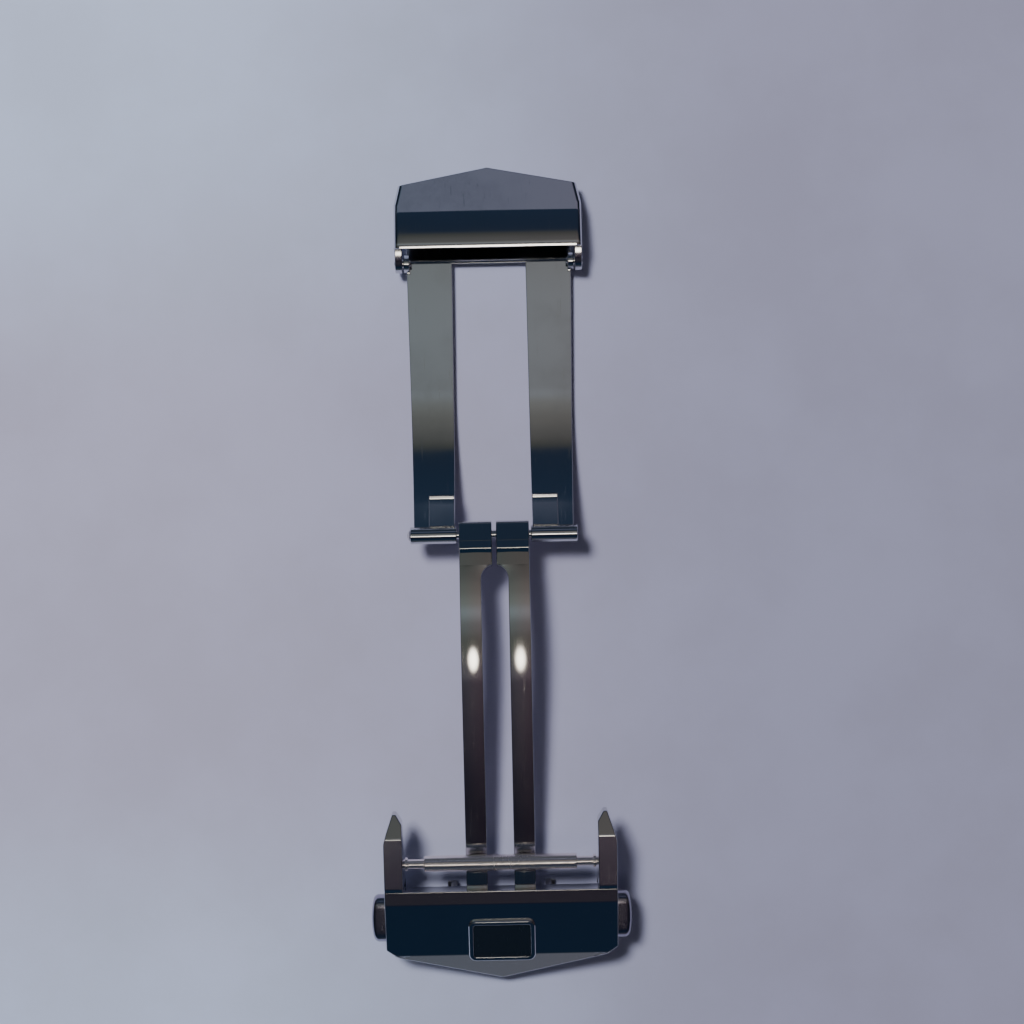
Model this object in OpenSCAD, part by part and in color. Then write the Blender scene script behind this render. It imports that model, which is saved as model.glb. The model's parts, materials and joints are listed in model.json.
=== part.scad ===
// Folding clasp for a leather watch strap, in millimetres.
// Three leaves fold like a Z: a wide frame with a strap clamp, two narrow blades, and a cover with lugs.
// It lies open on its flat frame, +Y towards the clamp, with the cover still shut over the narrow blades.

/* [Strap] */
// Width of the strap, which is also the gap between the lugs
strap_w = 18; // [17.5:0.25:20]

/* [Frame leaf] */
// Width across the two wide blades
frame_w = 15.5; // [15:0.1:15.7]
// Thickness of the frame's sheet
frame_t = 0.9; // [0.8:0.05:1]
// Width of the long window between the wide blades
window_w = 6.9; // [6.8:0.05:7.2]
// Distance along Y from the mid hinge to the window's far edge
window_run = 25.5; // [24:0.25:26]
// Radius of the wide blades' bend
frame_bend_r = 30; // [28:0.5:34]
// Run along Y of the bent stretch beside the mid hinge
frame_bend_run = 13.7; // [12:0.1:14.5]
// Distance along Y from the mid hinge to the frame's front corners
frame_corner_run = 32.6; // [32.3:0.05:32.7]
// How far the frame's point juts past its front corners
frame_point = 1.6; // [1.4:0.05:1.65]
// Length of the tab that laps back over each wide blade
tab_len = 3; // [2:0.1:5]
// Width of that tab
tab_w = 2.4; // [1.5:0.1:3.5]
// Height of that tab above the blade
tab_t = 0.35; // [0.2:0.05:0.5]

/* [Hinges] */
// Radius of the mid hinge pin
mid_pin_r = 0.4; // [0.35:0.01:0.45]
// Outside radius of the frame's knuckles at the mid hinge
frame_knuckle_r = 0.8; // [0.7:0.05:1]
// Outside radius of the narrow blades' knuckles at the mid hinge
blade_knuckle_r = 1.25; // [1.1:0.05:1.4]
// Radius of the mid hinge pin's domed head
pin_head_r = 0.65; // [0.5:0.05:0.75]
// Radius of the cover hinge pin
cover_pin_r = 0.4; // [0.35:0.01:0.42]
// Outside radius of the narrow blades' eyes at the cover hinge
eye_r = 0.92; // [0.8:0.02:0.96]
// Wall of the spacer tubes on the cover hinge pin
spacer_wall = 0.35; // [0.25:0.05:0.4]
// Running clearance round every pin
running_gap = 0.03; // [0.02:0.005:0.05]
// Side clearance between pieces that move past each other
side_gap = 0.1; // [0.06:0.01:0.14]

/* [Narrow blades] */
// Width across the pair of narrow blades
blades_w = 6.5; // [6.2:0.05:6.6]
// Width of the slot between them
slot_w = 2.5; // [2:0.1:3]
// Width of the slit between their knuckles
slit_w = 0.4; // [0.3:0.05:0.6]
// Thickness of their sheet
blade_t = 1; // [0.9:0.02:1.04]
// Radius of their bend
blade_bend_r = 30; // [28:0.5:33]
// Slope at which they leave the mid hinge, in degrees
blade_rise_deg = 18; // [17:0.5:19]
// Slope of their straight stretch, in degrees
blade_fall_deg = 8; // [7.5:0.1:8.2]
// Length of their straight stretch, up to the cover hinge
blade_straight = 23.15; // [23:0.05:23.4]
// Distance along Y from the mid hinge to the slot's round end
slot_end_run = 2.9; // [2.2:0.1:5]

/* [Clamp] */
// How far each side of the clamp lever stands out past the frame
lever_overhang = 0.6; // [0.5:0.05:0.7]
// Thickness of the clamp lever's sheet
lever_t = 0.7; // [0.6:0.05:0.75]
// Distance along Y from the mid hinge to the lever's front corners
lever_corner_run = 32.75; // [32.5:0.05:33.2]
// How far the lever's point juts past its front corners
lever_point = 1.65; // [1.2:0.05:2]
// Slope of the lever's flat face, in degrees
lever_slope_deg = 19; // [18:0.5:20]
// Distance along Y from the lever's point to the crease where its back starts
lever_flat_run = 4.35; // [4.2:0.05:4.5]
// Slope of the lever's back, in degrees
lever_back_deg = 12; // [10:0.5:14]
// Run along Y of the lever's back, from the crease to its rolled rear edge
lever_back_run = 2.6; // [2.4:0.05:2.7]
// Outside radius of the rolled rear edge
lever_roll_r = 1.7; // [1.5:0.05:1.9]
// Slope of the very rear of the roll, down towards the pivot, in degrees
lever_roll_deg = 16; // [10:1:20]
// Radius of the clamp's pivot pins
clamp_pin_r = 0.4; // [0.3:0.05:0.5]
// Radius of the lever's ears round the pivot
ear_r = 0.9; // [0.8:0.05:1]
// Thickness of the lever's ears
ear_t = 0.7; // [0.5:0.05:0.8]
// Thickness of the frame's ears
frame_ear_t = 0.55; // [0.4:0.05:0.6]
// Height of the clamp's pivot above the frame's outer face
clamp_pivot_z = 1.65; // [1.6:0.05:1.75]
// Distance along Y from the mid hinge to the clamp's pivot
clamp_pivot_run = 25.5; // [25.3:0.05:25.6]

/* [Cover] */
// Thickness of each lug and side wall
lug_t = 1.75; // [1.6:0.05:2]
// Height of the cover's top above the narrow blades' middle plane
cover_top_h = 3.3; // [3.2:0.05:3.5]
// Drop of the sloped main face
face_drop = 1; // [0.7:0.05:1.05]
// Thickness of the cover's top
cover_t = 0.85; // [0.75:0.05:0.9]
// Distance from the cover hinge to the cover's lip
lip_run = 4.15; // [4.1:0.05:4.3]
// Length of the flat strip behind the lip
strip_len = 1.3; // [1:0.05:1.5]
// Thickness of the wall under the lip
lip_wall_t = 0.6; // [0.5:0.05:0.65]
// Distance from the cover hinge back to the cover's rear corners
rear_corner_run = 2.3; // [2.2:0.05:2.6]
// How far the cover's point juts past its rear corners
cover_point = 2.9; // [2.5:0.05:3]
// Thickness of the cover at its point
point_t = 0.75; // [0.6:0.05:0.9]
// Depth of the side walls under the narrow blades' middle plane
skirt_h = 1.35; // [1.1:0.05:1.4]
// Distance from the cover hinge to the lugs' tips
lug_run = 11.25; // [10.5:0.05:12]
// Distance from the cover hinge to the lugs' crease
lug_crease_run = 9.15; // [8.6:0.05:9.6]

/* [Spring bar] */
// Distance from the cover hinge to the spring bar
bar_run = 6.45; // [6:0.05:6.8]
// Height of the spring bar above the narrow blades' middle plane
bar_h = 2.15; // [2:0.05:2.3]
// Outside radius of the spring bar's tube
bar_r = 0.75; // [0.65:0.05:0.85]
// Radius of the spring bar pins' shanks
bar_shank_r = 0.45; // [0.4:0.01:0.48]
// Radius of the spring bar pins' tips
bar_tip_r = 0.38; // [0.3:0.02:0.4]
// Length of a tip inside its lug
bar_tip_len = 0.95; // [0.8:0.05:1.1]
// Gap between the tube's end and the lug
bar_end_gap = 1.95; // [1.8:0.05:2.1]
// Length of a pin's shank inside the tube
bar_shank_len = 3.5; // [3:0.1:4.5]

/* [Push buttons] */
// Length of a push button along the side wall
button_len = 4.5; // [4:0.1:4.8]
// Height of a push button
button_h = 1.95; // [1.7:0.05:2]
// How far a push button stands out of the side wall
button_proud = 1; // [0.8:0.05:1.2]
// Travel of a push button
button_travel = 0.7; // [0.6:0.02:0.75]
// Height of a push button's middle above the narrow blades' middle plane
button_mid_h = 1.5; // [1.45:0.01:1.52]
// Width of a latch's hook, across the clasp
hook_t = 0.55; // [0.45:0.05:0.65]
// How far a hook's lip reaches under the frame
hook_lip = 0.35; // [0.3:0.01:0.4]
// Distance from the middle to a hook's inner side
hook_in = 4.15; // [4.1:0.05:4.4]

/* [Plaque] */
// Width of the plain plaque on the main face
plaque_w = 6.2; // [4:0.1:8]
// Length of the plaque, which overhangs the main face's rear edge a little
plaque_len = 4.2; // [3.8:0.1:4.3]
// Distance from the cover hinge back to the plaque's middle
plaque_back = 0.8; // [0.7:0.05:0.85]
// Height of the plaque's rim above the main face
plaque_h = 0.3; // [0.2:0.05:0.5]
// Width of the plaque's rim
plaque_rim = 0.45; // [0.3:0.05:0.6]
// Depth of the plaque's seat in the main face
plaque_seat_depth = 0.3; // [0.2:0.05:0.4]
// Radius of the plaque's corners
plaque_corner_r = 0.7; // [0.5:0.05:0.9]
// How far the plaque's field lies below its rim
plaque_sink = 0.15; // [0.05:0.05:0.2]

/* [Hidden] */
$fn = 48;
big = 60;
overlap = 0.1;
steel = "silver";
dark_steel = "dimgray";

// Clearances: between pieces side by side, pieces pushed together, and the cover's hinge and its neighbours
fit_gap = 0.05;
seat_gap = 0.01;
inner_gap = 0.06;

// Mid hinge axis, with the whole clasp centred on the origin
frame_bend_deg = asin(frame_bend_run / frame_bend_r);
mid_z = frame_t / 2 + frame_bend_r * (1 - cos(frame_bend_deg));
crest_back = blade_bend_r * sin(blade_rise_deg);
crest_up = blade_bend_r * (1 - cos(blade_rise_deg));
bend_back = crest_back + blade_bend_r * sin(blade_fall_deg);
cover_back = bend_back + blade_straight * cos(blade_fall_deg);
point_run = rear_corner_run + cover_point;
point_top_h = 0.45;
cover_reach = cover_back + point_run * cos(blade_fall_deg) + point_top_h * sin(blade_fall_deg);
lever_reach = lever_corner_run + lever_point;
mid_y = (cover_reach - lever_reach) / 2;

// Narrow blades: crest of their bend, start of the straight stretch, and the cover hinge axis
crest_y = mid_y - crest_back;
crest_z = mid_z + crest_up;
straight_z = crest_z - blade_bend_r * (1 - cos(blade_fall_deg));
cover_y = mid_y - cover_back;
cover_z = straight_z - blade_straight * sin(blade_fall_deg);

// Frame and clamp
flat_y = mid_y + frame_bend_run;
frame_corner_y = mid_y + frame_corner_run;
lever_corner_y = mid_y + lever_corner_run;
window_y = mid_y + window_run;
clamp_pivot_y = mid_y + clamp_pivot_run;
tab_sink = 0.02;
ear_stand = 0.2;
frame_ear_r = 0.85;
frame_ear_out = frame_w / 2 + ear_stand;
lever_ear_in = frame_ear_out + side_gap;
lever_ear_out = lever_ear_in + ear_t;
lever_half = frame_w / 2 + lever_overhang;
lever_tip_y = mid_y + lever_reach;
lever_tip_z = frame_t + fit_gap + lever_t;
lever_tip = [lever_tip_y, lever_tip_z];
lever_crease = lever_tip + lever_flat_run * [-1, tan(lever_slope_deg)];
lever_roll_start = lever_crease + lever_back_run * [-1, tan(lever_back_deg)];
lever_roll_centre = lever_roll_start - lever_roll_r * [sin(lever_back_deg), cos(lever_back_deg)];
lever_rear = lever_roll_centre + lever_roll_r * [-sin(lever_roll_deg), cos(lever_roll_deg)];

// Cover, seen from the cover hinge, along and square to the narrow blades' straight stretch
half_gap = strap_w / 2;
half_cover = half_gap + lug_t;
face_y = lip_run - strip_len;
face_run = face_y + rear_corner_run;
face_deg = atan(face_drop / face_run);
rear_h = cover_top_h - face_drop;
point_low_h = point_top_h - point_t;
lip_in_y = lip_run - lip_wall_t;
stop_h = blade_t / 2 + inner_gap;
mouth_y = -0.5;
rear_wall = 0.95;
point_wall = 1.2;
point_floor = 0.3;
room_corner_run = rear_corner_run - rear_wall;
room_point_run = point_run - point_wall;
hinge_seat = 0.8;
bar_hole_spare = 0.2;
function under_top(y) = (y > face_y ? cover_top_h : cover_top_h - (face_y - y) * tan(face_deg)) - cover_t;

// Latch parts, in the same directions
retainer_low = eye_r + inner_gap;
retainer_t = 0.3;
retainer_top = retainer_low + retainer_t;
slider_low = retainer_top + fit_gap;
slider_y0 = 1.45;
slider_y1 = lip_in_y - side_gap / 2;
slider_top = under_top(slider_y0) - fit_gap;
slider_out = half_gap - inner_gap;
slider_back = 0.4;
slider_in = hook_in - slider_back;
slider_mid_y = (slider_y0 + slider_y1) / 2;
slider_mid_h = (slider_low + slider_top) / 2;
slider_seat = 0.4;
stem_inset = 0.25;
spring_out_r = 0.3;
spring_in_r = 0.18;
anchor_half = 1.2;
button_mid_y = 1.15;
web_t = 0.35;
button_in = half_gap + web_t + button_travel + running_gap;
button_crown_r = 9;
screw_inset = 2.5;
screw_x = half_gap - screw_inset;
screw_y = -1.35;
screw_r = 0.3;
screw_hold = 0.35;
screw_head_r = 0.55;
screw_head_t = 0.3;
screw_slot = 0.2;

// Shut pose of the narrow blades: how far they turn about the mid hinge, and where the latches meet the frame
shut_deg = 168.5;
shut_tilt = shut_deg + blade_fall_deg;
shut_b_y = mid_y - cover_back * cos(shut_deg) - (cover_z - mid_z) * sin(shut_deg);
shut_b_z = mid_z - cover_back * sin(shut_deg) + (cover_z - mid_z) * cos(shut_deg);
hook_front = 0.7;
hook_len = 0.9;
hook_edge = 0.1;
hook_y1 = lip_run - hook_front;
hook_y0 = hook_y1 - hook_len;
catch_gap = 0.15;
catch_reach = hook_lip + catch_gap;
lip_face_z = frame_t - catch_reach;
function shut_y(y, h) = shut_b_y + y * cos(shut_tilt) - h * sin(shut_tilt);
// Height of a level in the frame, seen from the cover hinge when the clasp is shut
function shut_h(y, z) = (z - shut_b_z - y * sin(shut_tilt)) / cos(shut_tilt);
hook_lip_h = shut_h(hook_y1, lip_face_z + fit_gap);
hook_low_h = hook_lip_h - hook_lip;
catch_out = hook_in + hook_t + side_gap;

// Spring bar
tube_half = half_gap - bar_end_gap;
bar_pin_in = tube_half - bar_shank_len;
bar_shoulder_t = 0.25;
bar_shoulder_back = 0.45;
bar_shoulder_step = 0.12;
coil_wire = 0.15;

// Draws a side outline in Y and Z and stretches it across X, from x0 to x1
module across(x0, x1) {
  translate([(x0 + x1) / 2, 0, 0])
    rotate([90, 0, 90])
      linear_extrude(height = x1 - x0, center = true)
        children();
}

// Repeats a piece in the mirror on the other side of the clasp
module both_sides() {
  children();
  mirror([1, 0, 0]) children();
}

// Puts a piece drawn along the narrow blades' straight stretch on the cover hinge
module on_cover_hinge() {
  translate([0, cover_y, cover_z])
    rotate([blade_fall_deg, 0, 0])
      children();
}

// Round bar along X between x0 and x1, at a place in Y and Z
module rod(x0, x1, y, z, r) {
  translate([x0, y, z])
    rotate([0, 90, 0])
      cylinder(h = x1 - x0, r = r);
}

// Side outline of sheet bent about a centre, between two angles measured from +Y
module bent_sheet(centre, radius, thick, from_deg, to_deg) {
  far = 2 * radius;
  mid_deg = (from_deg + to_deg) / 2;
  translate(centre)
    intersection() {
      difference() {
        circle(r = radius + thick / 2, $fn = 360);
        circle(r = radius - thick / 2, $fn = 360);
      }
      polygon([
        [0, 0],
        far * [cos(from_deg), sin(from_deg)],
        far * [cos(mid_deg), sin(mid_deg)],
        far * [cos(to_deg), sin(to_deg)]
      ]);
    }
}

// Oblong outline, round at both ends
module oblong(len, high) {
  square([len - high, high], center = true);
  for (end = [-1, 1])
    translate([end * (len - high) / 2, 0]) circle(d = high);
}

// Rectangle with round corners
module rounded_rect(wide, long, r) {
  square([wide - 2 * r, long], center = true);
  square([wide, long - 2 * r], center = true);
  for (x = [-1, 1], y = [-1, 1])
    translate([x * (wide / 2 - r), y * (long / 2 - r)]) circle(r = r);
}

// Plan with a blunt point at one end: half width, start, corners and point along Y
module pointed_plan(half, start_y, corner_y, point_y) {
  polygon([[-half, start_y], [half, start_y], [half, corner_y], [0, point_y], [-half, corner_y]]);
}

// Side outline of the whole frame leaf
module frame_side() {
  square_y = frame_corner_y + frame_point - flat_y + overlap;
  translate([flat_y - overlap, 0]) square([square_y, frame_t]);
  bent_sheet(
    [flat_y, frame_t / 2 + frame_bend_r], frame_bend_r, frame_t,
    -90 - frame_bend_deg, -90
  );
}

// Side outline of the tab lapped back along the wide blade, on its wrist side
module tab_side() {
  tab_deg = tab_len / frame_bend_r * 180 / PI;
  bent_sheet(
    [flat_y, frame_t / 2 + frame_bend_r], frame_bend_r - (frame_t + tab_t) / 2, tab_t + 2 * tab_sink,
    -90 - frame_bend_deg, -90 - frame_bend_deg + tab_deg
  );
}

// One pocket for a latch: an open notch at the front with a shallow recess for the hook's lip
module latch_notch() {
  notch_y = shut_y(hook_y1, hook_lip_h) - 2 * side_gap;
  notch_in = hook_in - button_travel - catch_gap;
  translate([notch_in, notch_y, -big / 2]) cube([catch_out - notch_in, big, big]);
  translate([catch_out - overlap, notch_y, lip_face_z]) cube([catch_reach, big, big]);
}

// One ear that carries the clamp's pivot
module frame_ear() {
  across(frame_ear_out - frame_ear_t, frame_ear_out) {
    translate([clamp_pivot_y, clamp_pivot_z]) circle(r = frame_ear_r);
    translate([clamp_pivot_y - frame_ear_r, fit_gap]) square([2 * frame_ear_r, clamp_pivot_z - fit_gap]);
  }
}

module outer_frame() {
  color(steel)
    difference() {
      union() {
        intersection() {
          across(-frame_w / 2, frame_w / 2) frame_side();
          translate([0, 0, -big / 2])
            linear_extrude(height = big)
              pointed_plan(frame_w / 2, mid_y, frame_corner_y, frame_corner_y + frame_point);
        }
        both_sides() {
          rod(window_w / 2, frame_w / 2, mid_y, mid_z, frame_knuckle_r);
          across(window_w / 2, window_w / 2 + tab_w) tab_side();
          frame_ear();
        }
      }
      translate([-window_w / 2, window_y - big, -big / 2]) cube([window_w, big, big]);
      rod(-big, big, mid_y, mid_z, mid_pin_r);
      rod(-big, big, clamp_pivot_y, clamp_pivot_z, clamp_pin_r);
      both_sides() latch_notch();
    }
}

module mid_hinge_pin() {
  head_x = -frame_w / 2;
  head_sink = 0.35;
  color(steel) {
    rod(head_x, frame_w / 2, mid_y, mid_z, mid_pin_r);
    intersection() {
      translate([head_x + head_sink, mid_y, mid_z]) sphere(r = pin_head_r);
      rod(head_x - pin_head_r, head_x, mid_y, mid_z, pin_head_r);
    }
  }
}

module clamp_pivots() {
  head_in = 0.15;
  head_out = 0.08;
  in_x = frame_ear_out - frame_ear_t - head_in;
  out_x = lever_ear_out + head_out;
  color(steel)
    both_sides()
      rod(in_x, out_x, clamp_pivot_y, clamp_pivot_z, clamp_pin_r);
}

// Side outline of the lever: a sloped front, a flatter back behind the crease, and a rolled rear edge
module lever_side() {
  mid_deg = (lever_slope_deg + lever_back_deg) / 2;
  front_up = [sin(lever_slope_deg), cos(lever_slope_deg)];
  mid_up = [sin(mid_deg), cos(mid_deg)];
  back_up = [sin(lever_back_deg), cos(lever_back_deg)];
  back_end = lever_roll_start + seat_gap * [-cos(lever_back_deg), sin(lever_back_deg)];
  polygon([
    lever_tip, lever_crease, back_end,
    back_end - lever_t * back_up, lever_crease - lever_t * mid_up, lever_tip - lever_t * front_up
  ]);
  bent_sheet(
    lever_roll_centre, lever_roll_r - lever_t / 2, lever_t,
    90 - lever_back_deg, 90 + lever_roll_deg
  );
}

// Side outline of one of the lever's ears, up into its sheet
module lever_ear_side() {
  neck_inset = 0.3;
  neck_rise = 0.8;
  front_rise = 0.35;
  front_run = 0.8;
  front_drop = 0.55;
  sheet_mid = [0, -lever_t / 2];
  translate([clamp_pivot_y, clamp_pivot_z]) circle(r = ear_r);
  polygon([
    [clamp_pivot_y - neck_inset, clamp_pivot_z + neck_rise],
    [clamp_pivot_y, clamp_pivot_z - ear_r],
    [lever_crease[0], clamp_pivot_z + front_rise],
    lever_crease + [front_run, -front_drop],
    lever_crease + sheet_mid,
    lever_rear + sheet_mid + [neck_inset, 0]
  ]);
}

module clamp_lever() {
  color(steel)
    difference() {
      union() {
        intersection() {
          across(-lever_half, lever_half) lever_side();
          linear_extrude(height = big)
            pointed_plan(lever_half, mid_y, lever_corner_y, lever_tip_y);
        }
        both_sides() across(lever_ear_in, lever_ear_out) lever_ear_side();
      }
      rod(-big, big, clamp_pivot_y, clamp_pivot_z, clamp_pin_r + running_gap);
    }
}

// Side outline of a narrow blade, from the mid hinge over the crest to the cover hinge
module blade_side() {
  centre = [crest_y, crest_z - blade_bend_r];
  bent_sheet(centre, blade_bend_r, blade_t, 90 - blade_rise_deg, 90 + blade_fall_deg);
  translate([cover_y, cover_z])
    rotate(blade_fall_deg)
      translate([0, -blade_t / 2])
        square([blade_straight + overlap, blade_t]);
}

module inner_blade() {
  color(steel)
    difference() {
      union() {
        intersection() {
          across(slit_w / 2, blades_w / 2) blade_side();
          translate([0, mid_y - big, 0]) cube(big);
        }
        rod(slit_w / 2, blades_w / 2, mid_y, mid_z, blade_knuckle_r);
        on_cover_hinge() rod(slot_w / 2, blades_w / 2, 0, 0, eye_r);
      }
      translate([0, 0, -big / 2])
        linear_extrude(height = big)
          translate([0, mid_y - slot_end_run - slot_w / 2]) {
            circle(d = slot_w);
            translate([-slot_w / 2, -big]) square([slot_w, big]);
          }
      rod(-big, big, mid_y, mid_z, mid_pin_r + running_gap);
      on_cover_hinge() rod(-big, big, 0, 0, cover_pin_r + running_gap);
    }
}

module left_inner_blade() mirror([1, 0, 0]) inner_blade();
module right_inner_blade() inner_blade();

module cover_hinge_pin() {
  half = half_gap + hinge_seat - side_gap;
  color(steel) on_cover_hinge() rod(-half, half, 0, 0, cover_pin_r);
}

module hinge_spacers() {
  color(steel)
    on_cover_hinge()
      both_sides()
        difference() {
          rod(blades_w / 2 + side_gap, half_gap - fit_gap, 0, 0, cover_pin_r + spacer_wall);
          rod(0, big, 0, 0, cover_pin_r + seat_gap);
        }
}

// Outer side outline of the cover, from its lip to its point
module cover_side() {
  polygon([
    [lip_run, -skirt_h], [lip_run, cover_top_h], [face_y, cover_top_h], [-rear_corner_run, rear_h],
    [-point_run, point_top_h], [-point_run, point_low_h], [-rear_corner_run, -skirt_h]
  ]);
}

// Side outline of the room inside the cover, open towards the wrist
module cover_room_side() {
  polygon([
    [lip_in_y, -big], [lip_in_y, under_top(lip_in_y)], [face_y, under_top(face_y)],
    [-rear_corner_run, under_top(-rear_corner_run)],
    [-point_run, point_top_h - point_floor], [-point_run, -big]
  ]);
}

// Plan of the room inside the cover, pointed towards the cover's point, with a margin all round
module room_plan(margin, front_y) {
  mirror([0, 1])
    pointed_plan(half_gap - margin, -front_y, room_corner_run - margin, room_point_run - margin);
}

// Side outline of a lug, with its tip sloped down
module lug_side() {
  root = 1;
  root_y = lip_run - root;
  sweep = 1.4;
  root_drop = 1.5;
  tip_drop = 1;
  tip_rise = 0.2;
  polygon([
    [root_y, -skirt_h], [lip_run, -skirt_h], [lip_run + sweep, bar_h - root_drop],
    [lug_run, bar_h - tip_drop], [lug_run, bar_h + tip_rise],
    [lug_crease_run, cover_top_h], [root_y, cover_top_h]
  ]);
}

// Plan of the right lug, narrowed to a blunt tip
module lug_plan() {
  shoulder_back = 0.5;
  waist_in = 0.25;
  waist_run = 0.4;
  tip_out = 0.85;
  tip_in = 0.55;
  tip_back = 0.9;
  polygon([
    [half_gap, 0], [half_cover, 0], [half_cover, lug_crease_run - shoulder_back],
    [half_cover - waist_in, lug_crease_run + waist_run],
    [half_cover - tip_out, lug_run], [half_gap + tip_in, lug_run], [half_gap, lug_run - tip_back]
  ]);
}

module cover_shell() {
  bar_hole_end = half_gap + bar_tip_len + bar_hole_spare;
  color(steel)
    on_cover_hinge()
      difference() {
        union() {
          intersection() {
            across(-half_cover, half_cover) cover_side();
            translate([0, 0, -big / 2])
              linear_extrude(height = big)
                mirror([0, 1])
                  pointed_plan(half_cover, -lip_run, rear_corner_run, point_run);
          }
          both_sides()
            intersection() {
              across(half_gap, half_cover) lug_side();
              translate([0, 0, -big / 2]) linear_extrude(height = big) lug_plan();
            }
        }
        intersection() {
          across(-half_gap, half_gap) cover_room_side();
          translate([0, 0, -big / 2]) linear_extrude(height = big) room_plan(0, big);
        }
        translate([-half_gap, mouth_y, -big]) cube([strap_w, big, big + stop_h]);
        rod(-half_gap - hinge_seat, half_gap + hinge_seat, 0, 0, cover_pin_r);
        rod(-bar_hole_end, bar_hole_end, bar_run, bar_h, bar_tip_r + running_gap);
        both_sides() {
          across(half_gap + web_t, big) button_hole_side();
          across(half_gap - overlap, big) stem_side(running_gap);
          retainer_screw_core();
        }
        plaque_seat();
      }
}

// Side outline of the pocket that a push button slides in
module button_hole_side() {
  translate([button_mid_y, button_mid_h])
    oblong(button_len + 2 * running_gap, button_h + 2 * running_gap);
}

// Side outline of the stem between a slider and its push button, with a gap all round
module stem_side(gap) {
  low = slider_low + fit_gap;
  high = slider_top - fit_gap;
  translate([slider_y0 + stem_inset - gap, low - gap])
    square([slider_y1 - slider_y0 - 2 * stem_inset + 2 * gap, high - low + 2 * gap]);
}

// Shank of a retainer screw, up into the cover's top
module retainer_screw_core() {
  translate([screw_x, screw_y, retainer_low])
    cylinder(h = under_top(screw_y) + screw_hold - retainer_low, r = screw_r);
}

// Puts a piece on the sloped main face, at the plaque's middle
module on_face() {
  translate([0, -plaque_back, cover_top_h - (face_y + plaque_back) * tan(face_deg)])
    rotate([face_deg, 0, 0])
      children();
}

// Slab of the plaque's outline, let into its seat: drawn in on every side, and standing out of the face
module plaque_slab(drawn_in, proud, r) {
  translate([0, 0, -plaque_seat_depth])
    linear_extrude(height = plaque_seat_depth + proud)
      rounded_rect(plaque_w - 2 * drawn_in, plaque_len - 2 * drawn_in, r);
}

module plaque_seat() {
  on_face() plaque_slab(0, big, plaque_corner_r);
}

module plaque_rim_ring() {
  color(steel)
    on_cover_hinge()
      on_face()
        difference() {
          plaque_slab(seat_gap, plaque_h, plaque_corner_r - seat_gap);
          translate([0, 0, -overlap])
            linear_extrude(height = big, center = true)
              rounded_rect(plaque_w - 2 * plaque_rim, plaque_len - 2 * plaque_rim, plaque_corner_r / 2);
        }
}

module plaque_field() {
  color("black")
    on_cover_hinge()
      on_face()
        plaque_slab(plaque_rim + seat_gap, plaque_h - plaque_sink, plaque_corner_r / 2 - seat_gap);
}

module latch_retainer() {
  low_y = side_gap - rear_corner_run;
  high_y = hook_y0 - side_gap;
  color(dark_steel)
    on_cover_hinge()
      difference() {
        translate([0, 0, retainer_low])
          linear_extrude(height = retainer_t)
            intersection() {
              room_plan(side_gap, high_y);
              translate([-half_gap, low_y]) square([strap_w, high_y - low_y]);
            }
        both_sides()
          translate([screw_x, screw_y, 0]) cylinder(h = big, r = screw_r + seat_gap);
      }
}

module retainer_screws() {
  color(dark_steel)
    on_cover_hinge()
      both_sides() {
        retainer_screw_core();
        translate([screw_x, screw_y, retainer_low - screw_head_t])
          difference() {
            cylinder(h = screw_head_t, r = screw_head_r);
            translate([0, 0, screw_slot / 4]) cube([3 * screw_head_r, screw_slot, screw_slot], center = true);
          }
      }
}

module spring_anchor() {
  color(dark_steel)
    on_cover_hinge()
      translate([-anchor_half, slider_y0, retainer_top])
        cube([2 * anchor_half, slider_y1 - slider_y0, slider_top - retainer_top]);
}

// Slider with its hook, on the right side
module latch() {
  seat_end = slider_in + slider_seat;
  hook_out = hook_in + hook_t;
  lip_out = hook_out + hook_lip;
  color(dark_steel)
    on_cover_hinge() {
      difference() {
        translate([slider_in, slider_y0, slider_low])
          cube([slider_out - slider_in, slider_y1 - slider_y0, slider_top - slider_low]);
        rod(slider_in - overlap, seat_end, slider_mid_y, slider_mid_h, spring_out_r + running_gap);
      }
      across(slider_out - overlap, button_in) stem_side(0);
      across(hook_in, hook_out)
        translate([hook_y0, hook_low_h]) square([hook_len, slider_top - overlap - hook_low_h]);
      translate([0, hook_y1, 0])
        rotate([90, 0, 0])
          linear_extrude(height = hook_len)
            polygon([
              [hook_out - overlap, hook_low_h], [hook_out, hook_low_h],
              [lip_out, hook_lip_h - hook_edge], [lip_out, hook_lip_h],
              [hook_out - overlap, hook_lip_h]
            ]);
    }
}

module left_latch() mirror([1, 0, 0]) latch();
module right_latch() latch();

// Push button on the right side, with a crowned outer face
module push_button() {
  out_x = half_cover + button_proud;
  color(steel)
    on_cover_hinge()
      intersection() {
        across(button_in, out_x) translate([button_mid_y, button_mid_h]) oblong(button_len, button_h);
        translate([out_x - button_crown_r, button_mid_y, button_mid_h]) sphere(r = button_crown_r, $fn = 120);
      }
}

module left_button() mirror([1, 0, 0]) push_button();
module right_button() push_button();

// Spring sleeve between the anchor and a slider
module latch_spring() {
  color(dark_steel)
    on_cover_hinge()
      difference() {
        rod(anchor_half, slider_in + slider_seat, slider_mid_y, slider_mid_h, spring_out_r);
        rod(0, big, slider_mid_y, slider_mid_h, spring_in_r);
      }
}

module left_latch_spring() mirror([1, 0, 0]) latch_spring();
module right_latch_spring() latch_spring();

module spring_bar_tube() {
  color(steel)
    on_cover_hinge()
      difference() {
        rod(-tube_half, tube_half, bar_run, bar_h, bar_r);
        rod(-big, big, bar_run, bar_h, bar_shank_r + running_gap);
      }
}

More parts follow.
